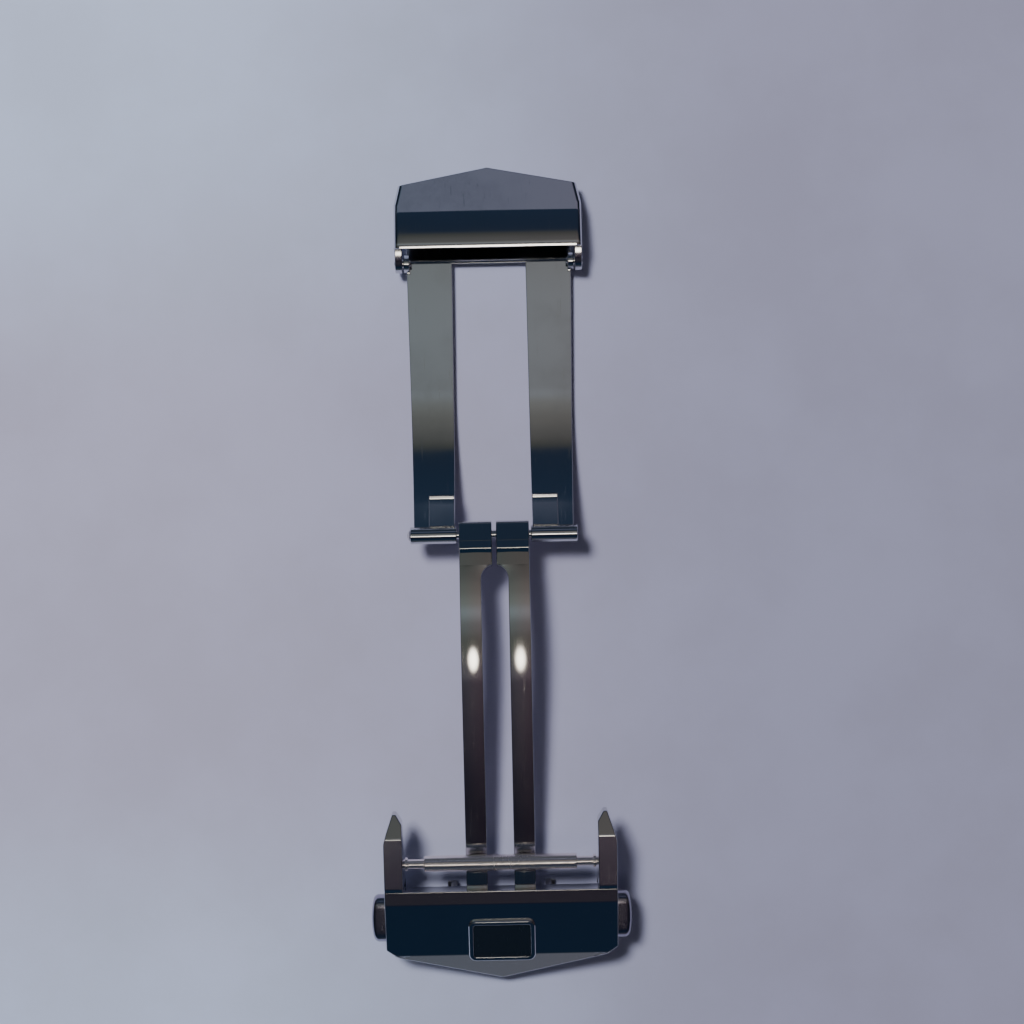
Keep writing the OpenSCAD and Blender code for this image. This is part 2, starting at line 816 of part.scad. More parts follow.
module spring_bar_coil() {
  color(dark_steel)
    on_cover_hinge()
      difference() {
        rod(-bar_pin_in, bar_pin_in, bar_run, bar_h, bar_shank_r - fit_gap);
        rod(-big, big, bar_run, bar_h, bar_shank_r - fit_gap - coil_wire);
      }
}

// Right pin of the spring bar: shank, shoulder and tip
module bar_pin() {
  shank_end = half_gap - fit_gap;
  shoulder = half_gap - bar_shoulder_back;
  color(steel)
    on_cover_hinge() {
      rod(bar_pin_in, shank_end, bar_run, bar_h, bar_shank_r);
      rod(shoulder, shoulder + bar_shoulder_t, bar_run, bar_h, bar_r - bar_shoulder_step);
      rod(shank_end, half_gap + bar_tip_len, bar_run, bar_h, bar_tip_r);
    }
}

module left_bar_pin() mirror([1, 0, 0]) bar_pin();
module right_bar_pin() bar_pin();

outer_frame();
mid_hinge_pin();
clamp_pivots();
clamp_lever();
left_inner_blade();
right_inner_blade();
cover_hinge_pin();
hinge_spacers();
cover_shell();
plaque_rim_ring();
plaque_field();
latch_retainer();
retainer_screws();
spring_anchor();
left_button();
right_button();
left_latch();
right_latch();
left_latch_spring();
right_latch_spring();
spring_bar_tube();
spring_bar_coil();
left_bar_pin();
right_bar_pin();
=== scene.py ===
# %% [markdown]
# # A folding watch clasp in polished steel
# The clasp closes a leather watch strap. It lies open on pale paper: a wide frame with a strap clamp, two
# narrow blades, and a cover with lugs and push buttons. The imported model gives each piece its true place,
# in metres, and this script dresses it: surfaces worked out with numpy, procedural steel, soft light and a
# camera.

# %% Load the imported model
import json
import math

import bmesh
import bpy
import numpy as np
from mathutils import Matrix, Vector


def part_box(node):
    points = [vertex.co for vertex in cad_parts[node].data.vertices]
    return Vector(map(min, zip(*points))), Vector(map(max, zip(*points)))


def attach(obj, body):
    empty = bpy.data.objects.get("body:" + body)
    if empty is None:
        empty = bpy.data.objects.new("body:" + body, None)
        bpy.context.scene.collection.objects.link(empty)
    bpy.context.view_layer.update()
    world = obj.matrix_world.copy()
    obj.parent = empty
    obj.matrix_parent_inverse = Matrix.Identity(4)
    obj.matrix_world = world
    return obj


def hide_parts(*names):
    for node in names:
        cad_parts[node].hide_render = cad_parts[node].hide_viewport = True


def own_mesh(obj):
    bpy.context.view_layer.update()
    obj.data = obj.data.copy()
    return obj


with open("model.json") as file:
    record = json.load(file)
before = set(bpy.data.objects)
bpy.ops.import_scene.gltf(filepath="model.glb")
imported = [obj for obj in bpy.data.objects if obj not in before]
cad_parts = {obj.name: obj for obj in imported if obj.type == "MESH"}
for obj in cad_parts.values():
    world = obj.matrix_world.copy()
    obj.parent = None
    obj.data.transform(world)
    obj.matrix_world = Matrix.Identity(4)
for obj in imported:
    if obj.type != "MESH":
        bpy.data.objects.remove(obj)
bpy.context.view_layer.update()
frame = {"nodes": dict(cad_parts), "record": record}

MM = 0.001

# %% [markdown]
# ## Camera
# The photograph looks straight down from close by, so near parts look larger than the paper. A camera 190
# mm up, turned a little about its own axis, puts the clasp's corners where the photograph has them.

# %% Camera
CAMERA_PLACE = (1.72, 5.61, 190.0)
CAMERA_ROLL_DEG = -1.18
IMAGE_WIDTH = 1024
FOCAL_PIXELS = 2008
SENSOR = 36.0

lens = bpy.data.cameras.new("photo_camera")
lens.sensor_fit = "HORIZONTAL"
lens.sensor_width = SENSOR
lens.lens = SENSOR * FOCAL_PIXELS / IMAGE_WIDTH
lens.clip_start = 0.01
camera = bpy.data.objects.new("photo_camera", lens)
camera.location = [value * MM for value in CAMERA_PLACE]
camera.rotation_euler = (0, 0, math.radians(CAMERA_ROLL_DEG))
bpy.context.collection.objects.link(camera)
bpy.context.scene.camera = camera
print("lens: %.1f mm" % lens.lens)

# %% [markdown]
# ## Paper and light
# The clasp lies on lavender-grey paper. A soft light from the upper left throws short shadows to the lower
# right. Polished steel shows little of itself: it shows the room. So the sky here is a procedural room, in
# bands from the photograph's top to its bottom: a grey wall, a navy band, an olive-grey ceiling, a small
# lamp and a dark side.

# %% Node helpers
def add_node(tree, kind, inputs=None, **settings):
    """Adds a node to a tree, with plain settings and with input values or links by name or number."""
    node = tree.nodes.new(kind)
    for key, value in settings.items():
        setattr(node, key, value)
    for key, value in (inputs or {}).items():
        if isinstance(value, bpy.types.NodeSocket):
            tree.links.new(value, node.inputs[key])
        else:
            node.inputs[key].default_value = value
    return node


def calculate(tree, operation, first, second=0.0, third=0.0):
    """One step of arithmetic, as a socket."""
    node = add_node(tree, "ShaderNodeMath", {0: first, 1: second, 2: third}, operation=operation)
    return node.outputs[0]


def colour_bands(tree, factor, bands):
    """A smooth ramp through (place, colour) pairs, as a socket."""
    node = add_node(tree, "ShaderNodeValToRGB", {"Fac": factor})
    ramp = node.color_ramp
    ramp.interpolation = "EASE"
    while len(ramp.elements) < len(bands):
        ramp.elements.new(0.5)
    for element, (place, colour) in zip(ramp.elements, bands):
        element.position = place
        element.color = (*colour, 1.0)
    return node.outputs["Color"]


def between(tree, value, low, high):
    """0 below low, 1 above high and smooth between them, as a socket."""
    settings = {"Value": value, "From Min": low, "From Max": high}
    return add_node(tree, "ShaderNodeMapRange", settings, interpolation_type="SMOOTHSTEP").outputs["Result"]


def mixed(tree, factor, first, second):
    """Two colours mixed by a factor, as a socket. A Mix node's colours are its inputs 6 and 7."""
    return add_node(tree, "ShaderNodeMix", {0: factor, 6: first, 7: second}, data_type="RGBA").outputs[2]


# %% The room that the steel mirrors
LAMP_TILT_DEG = -12.5
LAMP_HALF_DEG = 5.2
LAMP_CORE_DEG = 0.5
LAMP_COLOUR = (7.0, 6.4, 5.6, 1.0)
ROOM_STRENGTH = 1.0
# Tilt of a mirrored ray from straight up, towards the photograph's top, and the colour met there
ROOM_BANDS = [
    (-88, (0.13, 0.14, 0.17)),
    (-74, (0.05, 0.06, 0.08)),
    (-60, (0.008, 0.022, 0.045)),
    (-44, (0.009, 0.019, 0.041)),
    (-33, (0.014, 0.017, 0.032)),
    (-27, (0.034, 0.031, 0.042)),
    (-24.6, (0.013, 0.011, 0.021)),
    (-22, (0.050, 0.040, 0.056)),
    (-19, (0.11, 0.095, 0.115)),
    (-6, (0.11, 0.11, 0.10)),
    (0, (0.155, 0.158, 0.160)),
    (5.5, (0.25, 0.27, 0.285)),
    (9, (0.20, 0.205, 0.195)),
    (14, (0.155, 0.155, 0.145)),
    (20, (0.115, 0.115, 0.11)),
    (23, (0.075, 0.078, 0.070)),
    (25, (0.018, 0.030, 0.056)),
    (43.5, (0.018, 0.034, 0.064)),
    (45.3, (0.18, 0.195, 0.26)),
    (49.5, (0.17, 0.185, 0.25)),
    (52, (0.014, 0.026, 0.048)),
    (80, (0.04, 0.05, 0.07)),
]
# How far sideways the room starts to darken and is darkest, and how dark it is there
SIDE_START = 0.25
SIDE_END = 0.8
SIDE_SHADE = 0.35
# The room is a little greener on the left and redder on the right, and how fast that changes
LEFT_TINT = (0.90, 1.01, 1.02, 1.0)
RIGHT_TINT = (1.10, 0.96, 0.98, 1.0)
TINT_RATE = 4.0


def tilt_place(degrees):
    """Place on the ramp, from 0 to 1, of a tilt from -90 to 90 degrees."""
    return (degrees + 90) / 180


world = bpy.data.worlds.new("room")
world.use_nodes = True
room = world.node_tree
room.nodes.clear()
direction = add_node(room, "ShaderNodeTexCoord").outputs["Generated"]
part = add_node(room, "ShaderNodeSeparateXYZ", {0: direction}).outputs
tilt = calculate(room, "ARCTAN2", part["Y"], part["Z"])
place = calculate(room, "MULTIPLY_ADD", tilt, 1 / math.pi, 0.5)
bands = colour_bands(room, place, [(tilt_place(degrees), colour) for degrees, colour in ROOM_BANDS])
side_range = {
    "Value": calculate(room, "ABSOLUTE", part["X"]), "From Min": SIDE_START, "From Max": SIDE_END,
    "To Min": 1.0, "To Max": SIDE_SHADE,
}
shade = add_node(room, "ShaderNodeMapRange", side_range, interpolation_type="SMOOTHSTEP").outputs["Result"]
tint = mixed(room, calculate(room, "MULTIPLY_ADD", part["X"], TINT_RATE, 0.5), LEFT_TINT, RIGHT_TINT)
tinted = add_node(room, "ShaderNodeVectorMath", {0: bands, 1: tint}, operation="MULTIPLY")
walls = add_node(room, "ShaderNodeVectorMath", {0: tinted.outputs[0], "Scale": shade}, operation="SCALE")
lamp_way = (0.0, math.sin(math.radians(LAMP_TILT_DEG)), math.cos(math.radians(LAMP_TILT_DEG)))
toward_lamp = add_node(room, "ShaderNodeVectorMath", {0: direction, 1: lamp_way}, operation="DOT_PRODUCT")
rim = math.cos(math.radians(LAMP_HALF_DEG))
core = math.cos(math.radians(LAMP_CORE_DEG))
lamp = between(room, toward_lamp.outputs["Value"], rim, core)
seen = mixed(room, lamp, walls.outputs[0], LAMP_COLOUR)
glow = add_node(room, "ShaderNodeBackground", {"Color": seen, "Strength": ROOM_STRENGTH})
add_node(room, "ShaderNodeOutputWorld", {"Surface": glow.outputs[0]})
bpy.context.scene.world = world
print("room: %d bands of colour and a lamp" % len(ROOM_BANDS))

# %% The soft light from the upper left
KEY_WAY = (-0.34, 0.40, 1.0)
KEY_AWAY = 600.0
KEY_SIZE = 130.0
KEY_POWER = 3.4
KEY_COLOUR = (1.0, 0.98, 0.95)

key_light = bpy.data.lights.new("key", "AREA")
key_light.energy = KEY_POWER
key_light.size = KEY_SIZE * MM
key_light.color = KEY_COLOUR
key = bpy.data.objects.new("key", key_light)
key_way = np.array(KEY_WAY) / np.linalg.norm(KEY_WAY)
key.location = key_way * KEY_AWAY * MM
key.rotation_euler = (math.acos(key_way[2]), 0, math.atan2(key_way[1], key_way[0]) + math.pi / 2)
key.visible_glossy = False
bpy.context.collection.objects.link(key)
print("key light %.0f degrees above the paper" % math.degrees(math.asin(key_way[2])))

# %% [markdown]
# ## Steel, as shared effects and a few finishes
# Polished steel is bright metal with very little roughness. What makes it look used is small: hairline
# scratches in all directions, dull patches where skin touched it, and tiny dents that bend the reflections.
# These are node groups, each built once and given its own amounts in every finish. Patterns use Object
# coordinates, in metres.

# %% Shared effects
SCRATCH_SCALE = 4200.0
SCRATCH_TURNS_DEG = (14, 68, 131)
SCRATCH_STRETCH = (1.0, 0.05, 0.4)
SCRATCH_PEAKS = (0.67, 0.75)
SMUDGE_SCALE = 180.0
SMUDGE_PEAKS = (0.42, 0.66)
SMUDGE_FINER = 7.0
WAVE_SCALE = 260.0


def new_group(name, inputs, outputs):
    """A node group with named number inputs and outputs. Returns it with its input and output nodes."""
    group = bpy.data.node_groups.new(name, "ShaderNodeTree")
    for label, value in inputs.items():
        socket = group.interface.new_socket(name=label, in_out="INPUT", socket_type="NodeSocketFloat")
        socket.default_value = value
    for label in outputs:
        group.interface.new_socket(name=label, in_out="OUTPUT", socket_type="NodeSocketFloat")
    return group, group.nodes.new("NodeGroupInput"), group.nodes.new("NodeGroupOutput")


def noise(tree, vector, scale, detail=3.0, roughness=0.5):
    """Smooth noise from 0 to 1, as a socket."""
    settings = {"Vector": vector, "Scale": scale, "Detail": detail, "Roughness": roughness}
    return add_node(tree, "ShaderNodeTexNoise", settings).outputs["Fac"]


def build_scratches():
    """Hairline scratches: noise stretched twenty times along three directions, kept only where it peaks."""
    group, given, result = new_group("hairline_scratches", {"Scale": SCRATCH_SCALE, "Amount": 1.0}, ["Mask"])
    place = add_node(group, "ShaderNodeTexCoord").outputs["Object"]
    total = None
    for turn_deg in SCRATCH_TURNS_DEG:
        settings = {"Vector": place, "Rotation": (0, 0, math.radians(turn_deg)), "Scale": SCRATCH_STRETCH}
        turn = add_node(group, "ShaderNodeMapping", settings)
        grain = noise(group, turn.outputs[0], given.outputs["Scale"], detail=2.0)
        line = between(group, grain, *SCRATCH_PEAKS)
        total = line if total is None else calculate(group, "MAXIMUM", total, line)
    group.links.new(calculate(group, "MULTIPLY", total, given.outputs["Amount"]), result.inputs["Mask"])
    return group


def build_smudges():
    """Dull patches left by skin: two sizes of noise multiplied, so that patches have soft broken edges."""
    group, given, result = new_group("skin_smudges", {"Scale": SMUDGE_SCALE, "Amount": 1.0}, ["Mask"])
    place = add_node(group, "ShaderNodeTexCoord").outputs["Object"]
    broad = between(group, noise(group, place, given.outputs["Scale"], detail=2.0), *SMUDGE_PEAKS)
    finer = calculate(group, "MULTIPLY", given.outputs["Scale"], SMUDGE_FINER)
    fine = noise(group, place, finer, detail=4.0, roughness=0.65)
    patch = calculate(group, "MULTIPLY", broad, fine)
    group.links.new(calculate(group, "MULTIPLY", patch, given.outputs["Amount"]), result.inputs["Mask"])
    return group


def build_waviness():
    """The slight waviness that hand polishing leaves, as a height from 0 to 1."""
    group, given, result = new_group("polishing_waves", {"Scale": WAVE_SCALE}, ["Height"])
    place = add_node(group, "ShaderNodeTexCoord").outputs["Object"]
    group.links.new(noise(group, place, given.outputs["Scale"], detail=1.0), result.inputs["Height"])
    return group


SCRATCHES = build_scratches()
SMUDGES = build_smudges()
WAVES = build_waviness()
print("shared effects:", [group.name for group in (SCRATCHES, SMUDGES, WAVES)])

# %% Finishes
SMUDGE_DULLS = 0.16
SCRATCH_DULLS = 0.10
SMUDGE_DARKENS_TO = 0.82
SCRATCH_CUTS = -0.06
BUMP_STRENGTH = 0.2
BUMP_HEIGHT = 0.01


def metal_finish(name, colour, roughness, scratches=0.5, smudges=0.5, metallic=1.0):
    """Metal with the shared effects. Scratches and smudges dull it, and smudges darken it a little. Waves
    and scratches bend its reflections through a bump."""
    material = bpy.data.materials.new(name)
    material.use_nodes = True
    tree = material.node_tree
    tree.nodes.clear()
    hairlines = add_node(tree, "ShaderNodeGroup", node_tree=SCRATCHES)
    hairlines.inputs["Amount"].default_value = scratches
    patches = add_node(tree, "ShaderNodeGroup", node_tree=SMUDGES)
    patches.inputs["Amount"].default_value = smudges
    ripples = add_node(tree, "ShaderNodeGroup", node_tree=WAVES)
    dull = calculate(tree, "MULTIPLY_ADD", patches.outputs[0], SMUDGE_DULLS, roughness)
    dull = calculate(tree, "MULTIPLY_ADD", hairlines.outputs[0], SCRATCH_DULLS, dull)
    darker = [value * SMUDGE_DARKENS_TO for value in colour]
    shade = mixed(tree, patches.outputs[0], (*colour, 1.0), (*darker, 1.0))
    height = calculate(tree, "MULTIPLY_ADD", hairlines.outputs[0], SCRATCH_CUTS, ripples.outputs[0])
    settings = {"Height": height, "Strength": BUMP_STRENGTH, "Distance": BUMP_HEIGHT * MM}
    bump = add_node(tree, "ShaderNodeBump", settings)
    shader = add_node(tree, "ShaderNodeBsdfPrincipled", {
        "Base Color": shade, "Roughness": dull, "Normal": bump.outputs[0], "Metallic": metallic,
    })
    add_node(tree, "ShaderNodeOutputMaterial", {"Surface": shader.outputs[0]})
    return material


FINISHES = {
    "frame_steel": metal_finish("frame_steel", (0.66, 0.67, 0.68), 0.08, 0.9, 0.5),
    "pin_steel": metal_finish("pin_steel", (0.70, 0.69, 0.68), 0.12),
    "lever_steel": metal_finish("lever_steel", (0.66, 0.66, 0.68), 0.08, 0.6, 0.4),
    "blade_steel": metal_finish("blade_steel", (0.66, 0.65, 0.64), 0.07, 0.7, 0.3),
    "inner_steel": metal_finish("inner_steel", (0.48, 0.47, 0.46), 0.32, 0.8, 1.0),
    "cover_steel": metal_finish("cover_steel", (0.66, 0.66, 0.67), 0.07, 0.6, 0.4),
    "plaque_rim": metal_finish("plaque_rim", (0.70, 0.70, 0.71), 0.08),
    "plaque_field": metal_finish("plaque_field", (0.008, 0.013, 0.022), 0.22, 0.5, 0.6, metallic=0.0),
    # Painted shade: the buttons' steel is a darker, purplish copy of the steel, standing in for the dark room
    # they mirror
    "button_steel": metal_finish("button_steel", (0.46, 0.44, 0.51), 0.16, 0.6, 0.8),
    "spring_steel": metal_finish("spring_steel", (0.42, 0.42, 0.43), 0.25),
    # Painted highlight: the bar's steel is a brighter, warmer copy with a little diffuse, standing in for the
    # key light's highlight that glossy rays do not see
    "bar_steel": metal_finish("bar_steel", (0.96, 0.88, 0.86), 0.23, 0.3, 0.4, metallic=0.96),
}
print("finishes:", sorted(FINISHES))

# %% [markdown]
# ## The paper
# Paper scatters light evenly, so it is rough all over, and its fibres show only as a faint grain. It looks
# greyer on the right and bluer in its far left corners. That change is painted light: a gradient in the
# paper's colour stands in for the light falling off from left to right, and makes the far left corners paler
# and bluer. A picture of paper would need a file beside the script, so noise makes its stains and fibres.

# %% Paper
PAPER_SIZE = 1500.0
PAPER_DROP = 0.02
# Painted light: these colours make the paper paler and bluer on the left, bluer still in its far left
# corners, and greyer on the right, for the light's fall-off across it
PAPER_LEFT_PAINTED_LIGHT = (0.51, 0.51, 0.72, 1.0)
PAPER_FAR_LEFT_PAINTED_LIGHT = (0.60, 0.70, 1.0, 1.0)
PAPER_RIGHT_PAINTED_SHADE = (0.38, 0.387, 0.57, 1.0)
PAPER_STAIN = (0.93, 0.92, 0.90, 1.0)
PAPER_CLEAN = (1.0, 1.0, 1.0, 1.0)
PAPER_ROUGHNESS = 0.85
# Where the painted light on the paper starts to change and stops, in metres: from left to right, and away
# from the middle
PAPER_ACROSS = (-0.036, 0.030)
PAPER_AWAY = (0.014, 0.044)
STAIN_NOISE = {"scale": 45.0, "detail": 5.0, "roughness": 0.6}
STAIN_RANGE = (0.35, 0.65)
FIBRE_NOISE = {"scale": 2600.0, "detail": 4.0, "roughness": 0.6}
FIBRE_STRENGTH = 0.25
FIBRE_HEIGHT = 0.05


def paper_finish():
    """Pale lavender-grey paper with painted light: paler and bluer on the left and in its far left corners,
    greyer on the right, for the light's fall-off. Faint broad stains darken it a little, and fine fibres make
    a bump."""
    material = bpy.data.materials.new("paper")
    material.use_nodes = True
    tree = material.node_tree
    tree.nodes.clear()
    place = add_node(tree, "ShaderNodeTexCoord").outputs["Object"]
    part = add_node(tree, "ShaderNodeSeparateXYZ", {0: place}).outputs
    # Painted light: the colour falls off from left to right and turns paler and bluer towards the far left
    # corners
    away = between(tree, calculate(tree, "ABSOLUTE", part["Y"]), *PAPER_AWAY)
    left = mixed(tree, away, PAPER_LEFT_PAINTED_LIGHT, PAPER_FAR_LEFT_PAINTED_LIGHT)
    clean = mixed(tree, between(tree, part["X"], *PAPER_ACROSS), left, PAPER_RIGHT_PAINTED_SHADE)
    unstained = between(tree, noise(tree, place, **STAIN_NOISE), *STAIN_RANGE)
    stain = mixed(tree, unstained, PAPER_STAIN, PAPER_CLEAN)
    shade = add_node(tree, "ShaderNodeVectorMath", {0: clean, 1: stain}, operation="MULTIPLY")
    fibres = noise(tree, place, **FIBRE_NOISE)
    settings = {"Height": fibres, "Strength": FIBRE_STRENGTH, "Distance": FIBRE_HEIGHT * MM}
    bump = add_node(tree, "ShaderNodeBump", settings)
    shader = add_node(tree, "ShaderNodeBsdfPrincipled", {
        "Base Color": shade.outputs[0], "Roughness": PAPER_ROUGHNESS, "Normal": bump.outputs[0],
    })
    add_node(tree, "ShaderNodeOutputMaterial", {"Surface": shader.outputs[0]})
    return material


half_paper = PAPER_SIZE * MM / 2
paper_mesh = bpy.data.meshes.new("paper")
paper_corners = [
    (x * half_paper, y * half_paper, -PAPER_DROP * MM) for x, y in [(-1, -1), (1, -1), (1, 1), (-1, 1)]
]
paper_mesh.from_pydata(paper_corners, [], [(0, 1, 2, 3)])
paper = bpy.data.objects.new("paper", paper_mesh)
paper.data.materials.append(paper_finish())
bpy.context.collection.objects.link(paper)
print("paper: %.0f mm square" % PAPER_SIZE)

# %% [markdown]
# ## Making a piece
# Sheet metal and turned pins are all skins: one closed outline carried through many stations. Numpy works
# out every point at once, and the mesh only joins neighbours. A Bevel modifier then gives each sharp edge
# the small radius that polishing leaves, which is what catches the light.

# %% Skins
def skin(rings, round_trip=False):
    """Points and faces of a skin through closed rings of points, shape (stations, points, 3). Face (i, j)
    joins points j and j + 1 of stations i and i + 1. One face closes each end, or the last station joins
    the first one again."""
    stations, points = rings.shape[:2]
    index = np.arange(stations * points).reshape(stations, points)
    after = np.roll(index, -1, axis=1)
    ahead = np.roll(index, -1, axis=0)
    ahead_after = np.roll(after, -1, axis=0)
    sides = np.stack([index, after, ahead_after, ahead], axis=-1)
    if round_trip:
        return rings.reshape(-1, 3), sides.reshape(-1, 4).tolist()
    ends = [index[0][::-1].tolist(), index[-1].tolist()]
    return rings.reshape(-1, 3), sides[:-1].reshape(-1, 4).tolist() + ends


def mirrored(shape):
    """The same skin on the other side of the clasp: x changes its sign."""
    points, faces = shape
    return points * (-1, 1, 1), faces


def on_both_sides(*shapes):
    """Each skin and its mirror image."""
    return [copy for shape in shapes for copy in (shape, mirrored(shape))]


def arc(centre, radius, from_deg, to_deg, count):
    """Points (y, z) on a circle: centre plus radius times cosine and sine of evenly spaced angles."""
    angle = np.radians(np.linspace(from_deg, to_deg, count))
    return np.asarray(centre) + radius * np.stack([np.cos(angle), np.sin(angle)], axis=-1)


def bent_sheet(path, inner, outer, thick, crown=0.0, columns=9):
    """Sheet metal bent along a path in (y, z). A point is the path's point, moved across to x and along the
    path's normal by half the thickness, up or down. The top swells by a parabola, crown high in the middle.
    The edges and the thickness may change along the path."""
    run = np.gradient(path, axis=0)
    up = np.stack([-run[:, 1], run[:, 0]], axis=-1)
    up *= np.sign(up[:, 1:]) / np.linalg.norm(up, axis=1, keepdims=True)
    near, far, half = [np.broadcast_to(value, len(path))[:, None] for value in (inner, outer, thick / 2)]
    share = np.linspace(0, 1, columns)
    top = half + crown * (1 - (2 * share - 1) ** 2)
    height = np.concatenate([top, np.repeat(-half, columns, axis=1)], axis=1)
    across = np.concatenate([share, share[::-1]])
    x = near + (far - near) * across
    return skin(np.stack([x, path[:, :1] + up[:, :1] * height, path[:, 1:] + up[:, 1:] * height], axis=-1))


def turned(profile, axis, round_trip=False, sides=64):
    """Turned metal: each (x, radius) pair becomes a circle about the axis along X through (y, z)."""
    profile = np.asarray(profile, dtype=float)
    angle = np.linspace(0, 2 * np.pi, sides, endpoint=False)
    x = np.repeat(profile[:, :1], sides, axis=1)
    y = axis[0] + profile[:, 1:] * np.cos(angle)
    z = axis[1] + profile[:, 1:] * np.sin(angle)
    return skin(np.stack([x, y, z], axis=-1), round_trip)


def barrel(x0, x1, bore, radius, axis):
    """A tube along X: its four corners in (x, radius), turned and closed on themselves."""
    return turned([(x0, bore), (x0, radius), (x1, radius), (x1, bore)], axis, round_trip=True)


def plate(outline, x0, x1):
    """A flat plate: one outline in (y, z), set at x0 and again at x1."""
    outline = np.asarray(outline, dtype=float)
    rings = [np.insert(outline, 0, x, axis=1) for x in (x0, x1)]
    return skin(np.stack(rings))


# %% From skins to pieces
MERGE = 0.0005
FLAT_DEG = 0.8
CREASE_DEG = 28
PIECE_OF_NODE = {entry["node"]: entry for entry in frame["record"]["subparts"]}
BODY_OF_NODE = {
    node: body for body, nodes in frame["record"]["behaviour"]["bodies"].items() for node in nodes
}


def finish_piece(piece, node, edge, crease_deg):
    """Gives a piece its soft edges and its finish, and lets it ride and stand for its node."""
    slot = PIECE_OF_NODE[node]["material_slot"]
    mesh = piece.data
    mesh.materials.clear()
    mesh.materials.append(FINISHES[slot])
    mesh.shade_smooth()
    bevel = piece.modifiers.new("soft_edges", "BEVEL")
    bevel.width = edge * MM
    bevel.segments = 3
    bevel.limit_method = "ANGLE"
    bevel.angle_limit = math.radians(crease_deg)
    bevel.use_clamp_overlap = False
    bevel.loop_slide = False
    bevel.harden_normals = True
    bpy.context.collection.objects.link(piece)
    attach(piece, BODY_OF_NODE[node])
    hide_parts(node)
    print("%s: %d faces, rides on %s" % (piece.name, len(mesh.polygons), BODY_OF_NODE[node]))
    return piece


def make_piece(name, node, skins, edge=0.08, crease_deg=CREASE_DEG):
    """One object from closed skins, given in mm: doubles merged, empty faces dissolved, faces outward."""
    whole = bmesh.new()
    for points, faces in skins:
        mesh = bpy.data.meshes.new(name)
        mesh.from_pydata(points * MM, [], faces)
        closed = bmesh.new()
        closed.from_mesh(mesh)
        bmesh.ops.remove_doubles(closed, verts=closed.verts, dist=MERGE * MM)
        bmesh.ops.dissolve_degenerate(closed, edges=closed.edges, dist=MERGE * MM)
        bmesh.ops.recalc_face_normals(closed, faces=closed.faces)
        closed.to_mesh(mesh)
        closed.free()
        whole.from_mesh(mesh)
        bpy.data.meshes.remove(mesh)
    mesh = bpy.data.meshes.new(name)
    whole.to_mesh(mesh)
    whole.free()
    return finish_piece(bpy.data.objects.new(name, mesh), node, edge, crease_deg)


def soften(node, edge=0.05):
    """A node's own shape with soft edges: a copy with its doubles merged and its flat triangles joined."""
    mesh = frame["nodes"][node].data.copy()
    copy = bmesh.new()
    copy.from_mesh(mesh)
    bmesh.ops.remove_doubles(copy, verts=copy.verts, dist=MERGE * MM)
    bmesh.ops.dissolve_limit(copy, angle_limit=math.radians(FLAT_DEG), verts=copy.verts, edges=copy.edges)
    copy.to_mesh(mesh)
    copy.free()
    return finish_piece(bpy.data.objects.new(node + "_soft", mesh), node, edge, CREASE_DEG)


# %% Hinges and bar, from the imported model
JOINTS = {joint["name"]: joint for joint in frame["record"]["behaviour"]["joints"]}


def axis_of(joint):
    """Where a joint's axis lies, as (y, z) in mm."""
    return np.array(JOINTS[joint]["pos_m"][1:]) / MM


MID = axis_of("mid_hinge")
COVER = axis_of("cover_hinge")
CLAMP = axis_of("clamp_hinge")
BAR = axis_of("spring_bar_spin")
PIN_R = 0.4
PIN_GAP = 0.03
print("mid hinge, cover hinge, clamp pivot, spring bar in mm:", MID, COVER, CLAMP, BAR)

# %% [markdown]
# ## The frame leaf
# The frame is one stamping: two wide blades that bend up to the mid hinge, an end plate with two catches
# for the latches, rolled knuckles with their tabs lapped back, and two ears for the clamp. A stamping could
# be one mesh cut with booleans, but cuts leave long thin faces that spoil reflections. Here each stretch is
# its own clean sheet, carried along the bend, and the sheets overlap by a few micrometres where the steel
# is one.

# %% Wide blades, knuckles and tabs
FRAME_T = 0.9
FRAME_HALF = 7.75
WINDOW_HALF = 3.45
BEND_R = 30.0
BEND_RUN = 13.7
KNUCKLE_R = 0.8
SEAM = 0.005
INTO_KNUCKLE = 0.5
TAB_LEN = 3.9
TAB_W = 2.4
TAB_T = 0.35
TAB_LIFT_RUN = 0.62
TAB_LIFT_EASE = 0.32
TAB_LIFT_RATE = 0.75
EASE_RUN = 2.7
EASE_RATE = 0.022
# How far the wide blades' inner and outer edges draw in by the time they reach the mid hinge
WAIST_IN = 0.15
WAIST_OUT = 0.35
WINDOW_RUN = 25.5
INTO_PLATE = 0.1
BEND_STATIONS = 60
FLAT_STATIONS = 40
TAB_STATIONS = 81

flat_y = MID[0] + BEND_RUN
window_y = MID[0] + WINDOW_RUN
bend_centre = (flat_y, FRAME_T / 2 + BEND_R)
bend_deg = math.degrees(math.asin(BEND_RUN / BEND_R))


def bend_angle(distance):
    """Angle on the frame's bend, in degrees, at a distance along it from the mid hinge."""
    return -90 - bend_deg + math.degrees(distance / BEND_R)


def bend_path(away, to_deg, count):
    """Points (y, z) along the frame's bend at a distance above the sheet's middle, from the mid hinge to an
    angle. Near the hinge it straightens: a parabola that starts at EASE_RUN is taken off its height."""
    path = arc(bend_centre, BEND_R - away, bend_angle(INTO_KNUCKLE), to_deg, count)
    path[:, 1] -= EASE_RATE * np.clip(MID[0] + EASE_RUN - path[:, 0], 0, None) ** 2
    return path


